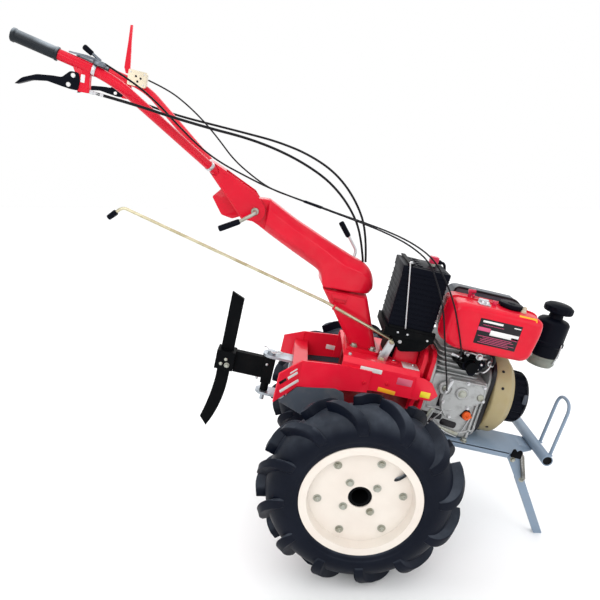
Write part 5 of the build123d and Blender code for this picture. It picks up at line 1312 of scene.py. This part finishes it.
# %% Sheet metal on the deck
NOSE = [(112, 296), (136, 297), (163, 287), (190, 252), (172, 231), (112, 228)]
nose = side_plate(NOSE, 4, sheet(-123.8, 2.4))
far_nose = nose * (1, -1, 1)
seat = flat_plate(rectangle(46, 120, -54, 60), 6, [(309, 0), (352, 2), (354.5, 3), (355, 6)])
build("body_noses", [nose, far_nose, seat], hazed_and_brightened_red, sharp=40)
foot_bolts = hexes([(x, y, 322) for x in (-81, -23) for y in (-50, 50)], UP, 14, 8, 1.5)
build("foot_bolts", foot_bolts, dull_zinc, sharp=40)
# Painted shade: thin black strips stand for the slots in the column foot, whose openings lie in
# shade.
slot_shades = [label((-58, -34, 322.2), (1, -0.08, 0), (0.08, 1, 0), 62, 5, 0.5),
         label((-78, -60, 310.2), AHEAD, LEFT, 22, 5, 0.5)]
build("foot_slot_shades", slot_shades, flat_black)
RING = [(0, 8), (0, 14), (1, 14.6), (4, 14), (5.6, 12.6), (6, 11), (6, 8)]
ring = turned(RING, (44, -78, 310), UP, 32)
build("ring_boss", [ring], "red_paint", sharp=40, wrap_rows=True)
ring_bolt = hexes([(44, -78, 309)], UP, 9, 6) + hexes([(104, -78, 310), (-92, -96, 310)], UP, 8, 5)
build("ring_bolt", ring_bolt, steel, sharp=40)
print("noses, bolts and ring on the deck")


# %% Labels on the sheet
def on_wing(side, along, z, width, height, turn=33.0):
    """A label on the face of a wing that looks to the right: along is the distance behind the
    fold, and the far wing's face lies one sheet further in."""
    u = np.array([0.864, -side * 0.504, 0])
    fold = np.array([-225, side * 130 - (5 if side > 0 else 0), 0])
    return label(fold - along * u + (0, 0, z), u, UP, width, height, 0.6, 1.5, turn)


white = [label((95, -83, 310), AHEAD, LEFT, 50, 48, 0.5, 3),
         label((-24, -125, 287), AHEAD, UP, 66, 14, 0.5),
         label((-114, 124.8, 236), AHEAD, UP, 56, 16, 0.5)]
white += [on_wing(*place_and_size) for place_and_size in (
    (-1, 24, 224, 34, 9), (-1, 24, 238, 26, 5), (-1, 28, 190, 66, 10), (1, 38, 222, 62, 8),
    (1, 22, 202, 26, 12), (1, 48, 186, 12, 8))]
orange_label = label((37, -125, 232), AHEAD, UP, 54, 13, 0.5, 2, -4)
yellow_label = label((152, -126.2, 247), AHEAD, UP, 30, 19, 0.5)
faded_label = label((82, -125, 272), AHEAD, UP, 46, 22, 0.4)
marks = [on_wing(-1, 53, 206, 24, 10), on_wing(1, 30, 240, 26, 5)]
build("plain_labels", white, flat_white)
build("orange_label", [orange_label], flat_yellow)
build("yellow_label", [yellow_label],
      paint("label_bright_yellow", (0.9, 0.72, 0.03), 0.35, dust=0.0))
build("faded_label", [faded_label],
      paint("label_faded_pink", (0.72, 0.12, 0.2), 0.35, dust=0.0))
build("wing_marks", marks, flat_black)
side_bolts = hexes([(-35, -130, 245), (33, -125, 255)], RIGHT, 8, 4)
build("side_bolts", side_bolts, "red_paint", sharp=40)
print(len(white) + len(marks) + 3, "blank labels on the sheet")

# %% [markdown]
# The mudguards are flat grey sheet that hangs below each wing, with the corner by the tyre cut off.

# %% Mudguards
GUARD = [(-270, 128), (-226, 186), (-114, 208), (-86, 200), (-72, 158), (-116, 116), (-164, 90)]
GUARD_Y, GUARD_HALF_T = 131.6, 1.4
guards = [side_plate(GUARD, 5, [(y - GUARD_HALF_T * k, 0.8 * k * k) for k in (1, 0.4, -0.4, -1)])
          for y in (-GUARD_Y, GUARD_Y)]
build("sheet_mudguards", guards, "grey_sheet", sharp=40, node="mudguards")
print("mudguards done")

# %% [markdown]
# The channel between the side plates carries the hitch. On the machine its cheeks end just under
# the mudguards, and only the hitch's own plate reaches lower. The CAD piece is already right apart
# from that, so a merged copy of it has its low corners lifted. Each corner is turned back to the
# level drawing, its height is held above the limit, and it is placed again.

# %% Hitch channel
CHANNEL_LOW = 128.0
channel = bpy.data.meshes.new("hitch_channel")
closed(channel, source=frame["nodes"]["hitch_frame"].data)
corners = np.empty(len(channel.vertices) * 3)
channel.vertices.foreach_get("co", corners)
x, y, z = (corners.reshape(-1, 3) - AXLE).T * 1000
c, s = math.cos(PARK_PITCH), math.sin(PARK_PITCH)
lifted = np.stack([x * c - z * s, y, np.maximum(x * s + z * c, CHANNEL_LOW)], -1)
channel.vertices.foreach_set("co", place(lifted).ravel())
channel.materials.clear()
show("hitch_channel", channel, "red_paint", "root", "hitch_frame")
print("hitch channel", len(channel.vertices), "corners")

# %% [markdown]
# ## Handlebar
#
# Two bent tubes with rubber grips. Under each tube hangs a welded bracket, and a flat black
# lever is pinned in it. The right tube carries the throttle's thumb lever, the left one the engine
# control box. They are rebuilt here with the real thin tube, the hooked lever and its pins.

# %% Handlebar tools
TUBE_R, TUBE_BEND = 12, 60


def on_bar(name, grids, finish, sharp=None, node=None):
    """A piece of the handlebar: it is parked swivelled and rides on that body."""
    return build(name, grids, finish, "handlebar", True, sharp, node)


def bar_line(side):
    """Neck, bend and end of a tube."""
    return np.array([(-587, side * 26, 739), (-845, side * 240, 913), (-1050, side * 250, 950)],
                    float)


def ring_on(origin, axis, radius, half_width):
    """A thin steel band round the tube."""
    w, bore = half_width, TUBE_R
    return lathe([(-w, bore), (-w, radius), (w, radius), (w, bore)], origin, axis, 28, 0.8, 2)


print("tubes of", 2 * TUBE_R, "mm")

# %% Tubes and grips
RIDGES, RIDGE_PITCH = 31, 2.6
tubes = [bent_rod(bar_line(side), TUBE_BEND, TUBE_R, 24, 18) for side in (-1, 1)]
on_bar("bent_tubes", tubes, "red_paint", 60, "handle_tubes")
ridges = [(6 + RIDGE_PITCH * k + d, 13.4 + h)
          for k in range(RIDGES) for d, h in ((0, 0), (1.2, 0.45))]
GRIP = [(-4, 0), (-4, 12), (-2, 14.6), (4, 15), *ridges, (88, 13.4), (89, 15), (94, 15),
        (95, 12.2), (95, 11.5)]
grips = []
for side in (-1, 1):
    _, inner, outer = bar_line(side)
    grips.append(turned(GRIP, outer, inner - outer))
on_bar("ribbed_grips", grips, "grip_rubber", 60, "grips")
for side, word in ((-1, "right"), (1, "left")):
    neck, inner, _ = bar_line(side)
    band = ring_on(neck + (inner - neck) * 0.075, inner - neck, 13.6, 5)
    on_bar("tube_clamp_" + word, [band], steel, 40)
print("tubes and grips")

# %% Brackets and clutch levers
BRACKET = [(-927, 921), (-888, 922), (-885, 868), (-911, 867), (-917, 902)]
LEVER = [(-1041, 852), (-1026, 869), (-996, 883), (-962, 888), (-944, 889), (-928, 906),
         (-910, 906), (-906, 892), (-908, 869), (-922, 868), (-943, 870), (-976, 874),
         (-1008, 868), (-1030, 857)]
ADJUSTER = [(0, 0), (0, 5), (8, 5), (8, 3.5), (22, 3.5), (22, 4.6), (30, 4.6), (30, 0)]
LEVER_Y, BRACKET_HALF, LEVER_HALF = 241, 9, 11.5
brackets, levers, pins, stickers, adjusters = [], [], [], [], []
for side in (-1, 1):
    y = side * LEVER_Y
    brackets.append(side_plate(BRACKET, 4, sheet(y, BRACKET_HALF, 1.2, 1)))
    levers.append(side_plate(LEVER, 5, sheet(y, LEVER_HALF, 1, 0.7), 4))
    near = y - LEVER_HALF
    pins += buttons([(-921, near, 898), (-929, near, 877)], RIGHT, 5, 2.5)
    stickers.append(label((-901, y - BRACKET_HALF, 896), AHEAD, UP, 9, 17, 0.4, 1.5))
    adjusters.append(turned(ADJUSTER, (-886, y, 872), (1, 0.12, -0.04), 6))
on_bar("slim_brackets", brackets, "red_paint", 40, "lever_brackets")
on_bar("hooked_levers", levers, "black_plastic", 40, "clutch_levers")
on_bar("lever_pins", pins, flat_white, 60)
on_bar("bracket_stickers", stickers, flat_white)
on_bar("cable_adjusters", adjusters, steel, 40)
print("a bracket and a lever on each side")

# %% Throttle
boss = lathe([(0, 0), (0, 15), (7, 15), (8, 11), (11, 9), (11, 0)], (-872, -241, 930),
             (0.12, 0, 1))
THROTTLE_ARM = [(-937, 946), (-900, 946), (-872, 943), (-872, 938), (-900, 941), (-937, 943)]
arm = side_plate(THROTTLE_ARM, 1.5, sheet(-241, 6, 1, 1))
thumb = bent_rod([(-870, -241, 941), (-886, -241, 950), (-896, -241, 956)], 4, 3.2, 12)
on_bar("throttle_arm", [boss, arm, thumb], gunmetal, 40, "throttle_lever")
knob = lathe([(0, 0), (0, 5.6), (20, 6.4), (23, 4.5), (23, 0)], (-889, -241, 951),
             (-21, 0, 12), 20)
on_bar("throttle_knob", [knob], "black_plastic", 50)
on_bar("throttle_band", [ring_on((-881, -242, 918.5), (205, 8, -37), 13.4, 4)], steel, 50)
print("throttle done")

# %% Control box and height lever
BOX_FACE = 204
BOX_HOLES = [(-872, 938), (-858, 934), (-866, 924)]
BOX_SCREWS = [(x, z) for z in (947, 917) for x in (-888, -848)]
# Painted shade: flat black discs stand for the holes in the box, which lie in shade.
hole_shades = buttons([(x, BOX_FACE, z) for x, z in BOX_HOLES], RIGHT, 3.4, 0.5)
on_bar("box_hole_shades", hole_shades, flat_black)
screws = buttons([(x, BOX_FACE, z) for x, z in BOX_SCREWS], RIGHT, 2.6, 1.2)
on_bar("box_screws", screws, steel)
height_rod = bent_rod([(-462, -36, 657), (-462, -73, 657), (-500, -76.5, 627)], 9, 5, 14, 5)
pivot_boss = lathe([(0, 0), (0, 11), (5, 11), (7, 9), (7, 0)], (-462, -36.5, 657), RIGHT, 28)
on_bar("height_rod", [height_rod, pivot_boss], dull_zinc, 50, "height_lock_lever")
sleeve = lathe([(0, 0), (0, 6.5), (5, 8), (58, 8.5), (62, 7), (62, 0)], (-499, -76.5, 627.6),
               (-55, 0, -34), 24, 2)
on_bar("height_grip", [sleeve], "black_plastic", 50)
print("handlebar done")

# %% [markdown]
# ## Front frame, bumper and stand
#
# The mounting plate is folded sheet with a long turned edge. The bumper is an open tube with a
# bent rod welded to it. The stand is a tapered leg with a turned edge, held by a pin, and a coil
# spring pulls it against its stop. The spring is a helix; it rides on no body and stays where it
# is made.

# %% Mounting plate
BASE = [(190, -118), (470, -118), (557, -62), (562, -50), (562, 14), (412, 14), (412, 118),
        (190, 118)]
base = flat_plate(BASE, 8, sheet(115, 3, 1, 0.8))
LIP = [(192, 117), (466, 117), (462, 98), (192, 98)]
lips = [side_plate(LIP, 5, sheet(y, 3)) for y in (-115, 115)]
gusset = label((540, -24, 115), AHEAD, LEFT, 44, 60, 4, 6)
INNER_EAR = [(470, 113), (500, 113), (498, 84), (472, 84)]
inner_ear = side_plate(INNER_EAR, 6, sheet(-97, 3, 0.8, 1))
made = build("frame_plate", [base, *lips, gusset, inner_ear], "grey_paint", sharp=40,
             node="engine_base")
bolts = hexes([(x, y, 118) for x in (214, 316) for y in (-108, 108)], UP, 14, 8, 1.4)
build("plate_bolts", bolts, dull_zinc, sharp=40)
SPRING_EAR = [(467, 106), (469, 132), (477, 134), (483, 126), (492, 134), (500, 130),
              (500, 106)]
spring_ear = side_plate(SPRING_EAR, 3, sheet(-120.5, 2.5))
build("spring_ear", [spring_ear], "black_steel", sharp=40)
print("frame plate", len(made.data.polygons), "faces")

# %% Bumper
NEAR, FAR = np.array([565, -150, 133.0]), np.array([562, 120, 131.0])
BUMPER_R, BUMPER_BORE_R, OPEN_DEPTH = 17, 14, 40
length = np.linalg.norm(FAR - NEAR)
wall = [(OPEN_DEPTH, BUMPER_BORE_R), (0, BUMPER_BORE_R), (0, BUMPER_R), (length, BUMPER_R),
        (length, BUMPER_BORE_R), (length - OPEN_DEPTH, BUMPER_BORE_R)]
tube = lathe(wall, NEAR, FAR - NEAR, 36, 0.8, 2)
build("bumper_tube", [tube], "grey_paint", sharp=40, node="bumper_bar")
# Painted shade: a black cup a little way inside each open end of the bumper tube, where the bore
# lies in shade.
dark = paint("bore_shade_paint", (0.004, 0.004, 0.005), 0.7, coat=0.0, dust=0.0)
BORE = [(9, 0), (9, 14.2), (2, 14.2), (2, 13.7), (8, 13.6), (8, 0)]
bore = [lathe(BORE, end, way, 36, 0.1, 1) for end, way in ((NEAR, FAR - NEAR), (FAR, NEAR - FAR))]
build("bumper_bore_shade", bore, dark)
HOOP_NEAR, HOOP_FAR = -123, -46
hoop = bent_rod([(581, HOOP_NEAR, 142), (584, HOOP_NEAR - 1, 317), (584, HOOP_FAR, 317),
                 (581, HOOP_FAR, 142)], 38, 5, 16, 14)
welds = [turned([(0, 0), (0, 8.5), (2.5, 7.2), (4.5, 5.2), (4.5, 0)], (581, y, 141), UP, 20)
         for y in (HOOP_NEAR, HOOP_FAR)]
build("bumper_hoop", [hoop, *welds], "grey_paint", sharp=60, node="bumper_loop")
print("bumper", round(length), "mm")

# %% Stand
LEG = [(466, 104), (464, 98), (516, 27), (639, -150.1), (665, -144.1), (548, 25), (506, 100),
       (500, 106)]
leg = side_plate(LEG, 3, sheet(-106, 2.5, 0.8, 0.7))
edge = pressed([(518, -105, 26), (640, -105, -149), (640, -88, -149), (518, -88, 26)],
               (0.8213, 0, 0.5708), [(-0.6, 0.6), (0, 0), (3.6, 0), (4.2, 0.6)])
build("stand_leg", [leg, edge], "grey_paint", "stand", sharp=40, node="front_stand")
STAND_PIN = (484, -108, 92)
pins = hexes([STAND_PIN, (534, -108, 30)], RIGHT, 11, 6, 1.4)
pins += [turned([(0, 0), (0, 5.5), (20, 5.5), (20, 0)], STAND_PIN, LEFT, 20)]
build("stand_pins", pins, dull_zinc, "stand", sharp=40)
print("stand leg and pins")

# %% Stand spring
TOP, LOW = np.array([500, -117, 124.0]), np.array([534, -119, 36.0])
COIL_FROM, COIL_TO = 0.08, 0.94  # shares of the way down
COIL_R, WIRE_R, COIL_TURNS = 5.6, 1.5, 16
upper, lower = (TOP + (LOW - TOP) * share for share in (COIL_FROM, COIL_TO))
helix = coil(upper, lower, COIL_R, WIRE_R, COIL_TURNS)
hooks = [bent_rod([upper + (0, -5, 0), TOP + (0, -3, 4), TOP + (-6, 0, 6)], 3, WIRE_R, 8),
         bent_rod([lower + (0, -5, 0), LOW + (0, -1, -3), LOW + (0, 4, -6)], 3, WIRE_R, 8)]
spring_steel = metal("spring_steel", (0.3, 0.29, 0.26), 0.35, (0.12, 0.11, 0.1), 0.5)
spring = build("stand_coil", [helix, *hooks], spring_steel, None, sharp=60,
               node="stand_spring")
place(TOP)
place(LOW)
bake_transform(spring)
print("stand spring", len(spring.data.polygons), "faces")

# %% [markdown]
# ## Hitch and depth bar
#
# The clevis and its pin are plain grey zinc, and the pin's clip is bright wire. The holder is a
# black fabricated block with bolts, and the depth bar is a plain flat bar. All keep their CAD
# shape, so only the clip and the bolts are added.

# %% Hitch details
grey_zinc = metal("grey_zinc", (0.42, 0.46, 0.5), 0.38, (0.25, 0.26, 0.27), 0.5)
for node in ("hitch_clevis", "hitch_pin"):
    frame["nodes"][node].data.materials[0] = grey_zinc
clip = pipe([(-346, -4, 240), (-338, 0, 237), (-326, -6, 231), (-318, -12, 228),
             (-309, -8, 227), (-300, -2, 230), (-292, -6, 233), (-284, -10, 232),
             (-292, -13, 229), (-304, -13, 227), (-316, -14, 226)], 1.8, 8, 5)
build("pin_clip", [clip], steel)
clamp_bolts = buttons([(-454, -26, 176), (-467, -28, 160)], RIGHT, 6, 3)
clamp_bolts += hexes([(-448, -26, 158)], RIGHT, 11, 6)
build("clamp_bolts", clamp_bolts, dull_zinc, sharp=40)
web_bolts = buttons([(-325, -18, 186), (-348, -18, 134)], RIGHT, 4.5, 2.5)
build("web_bolts", web_bolts, steel, sharp=60)
print("hitch done")
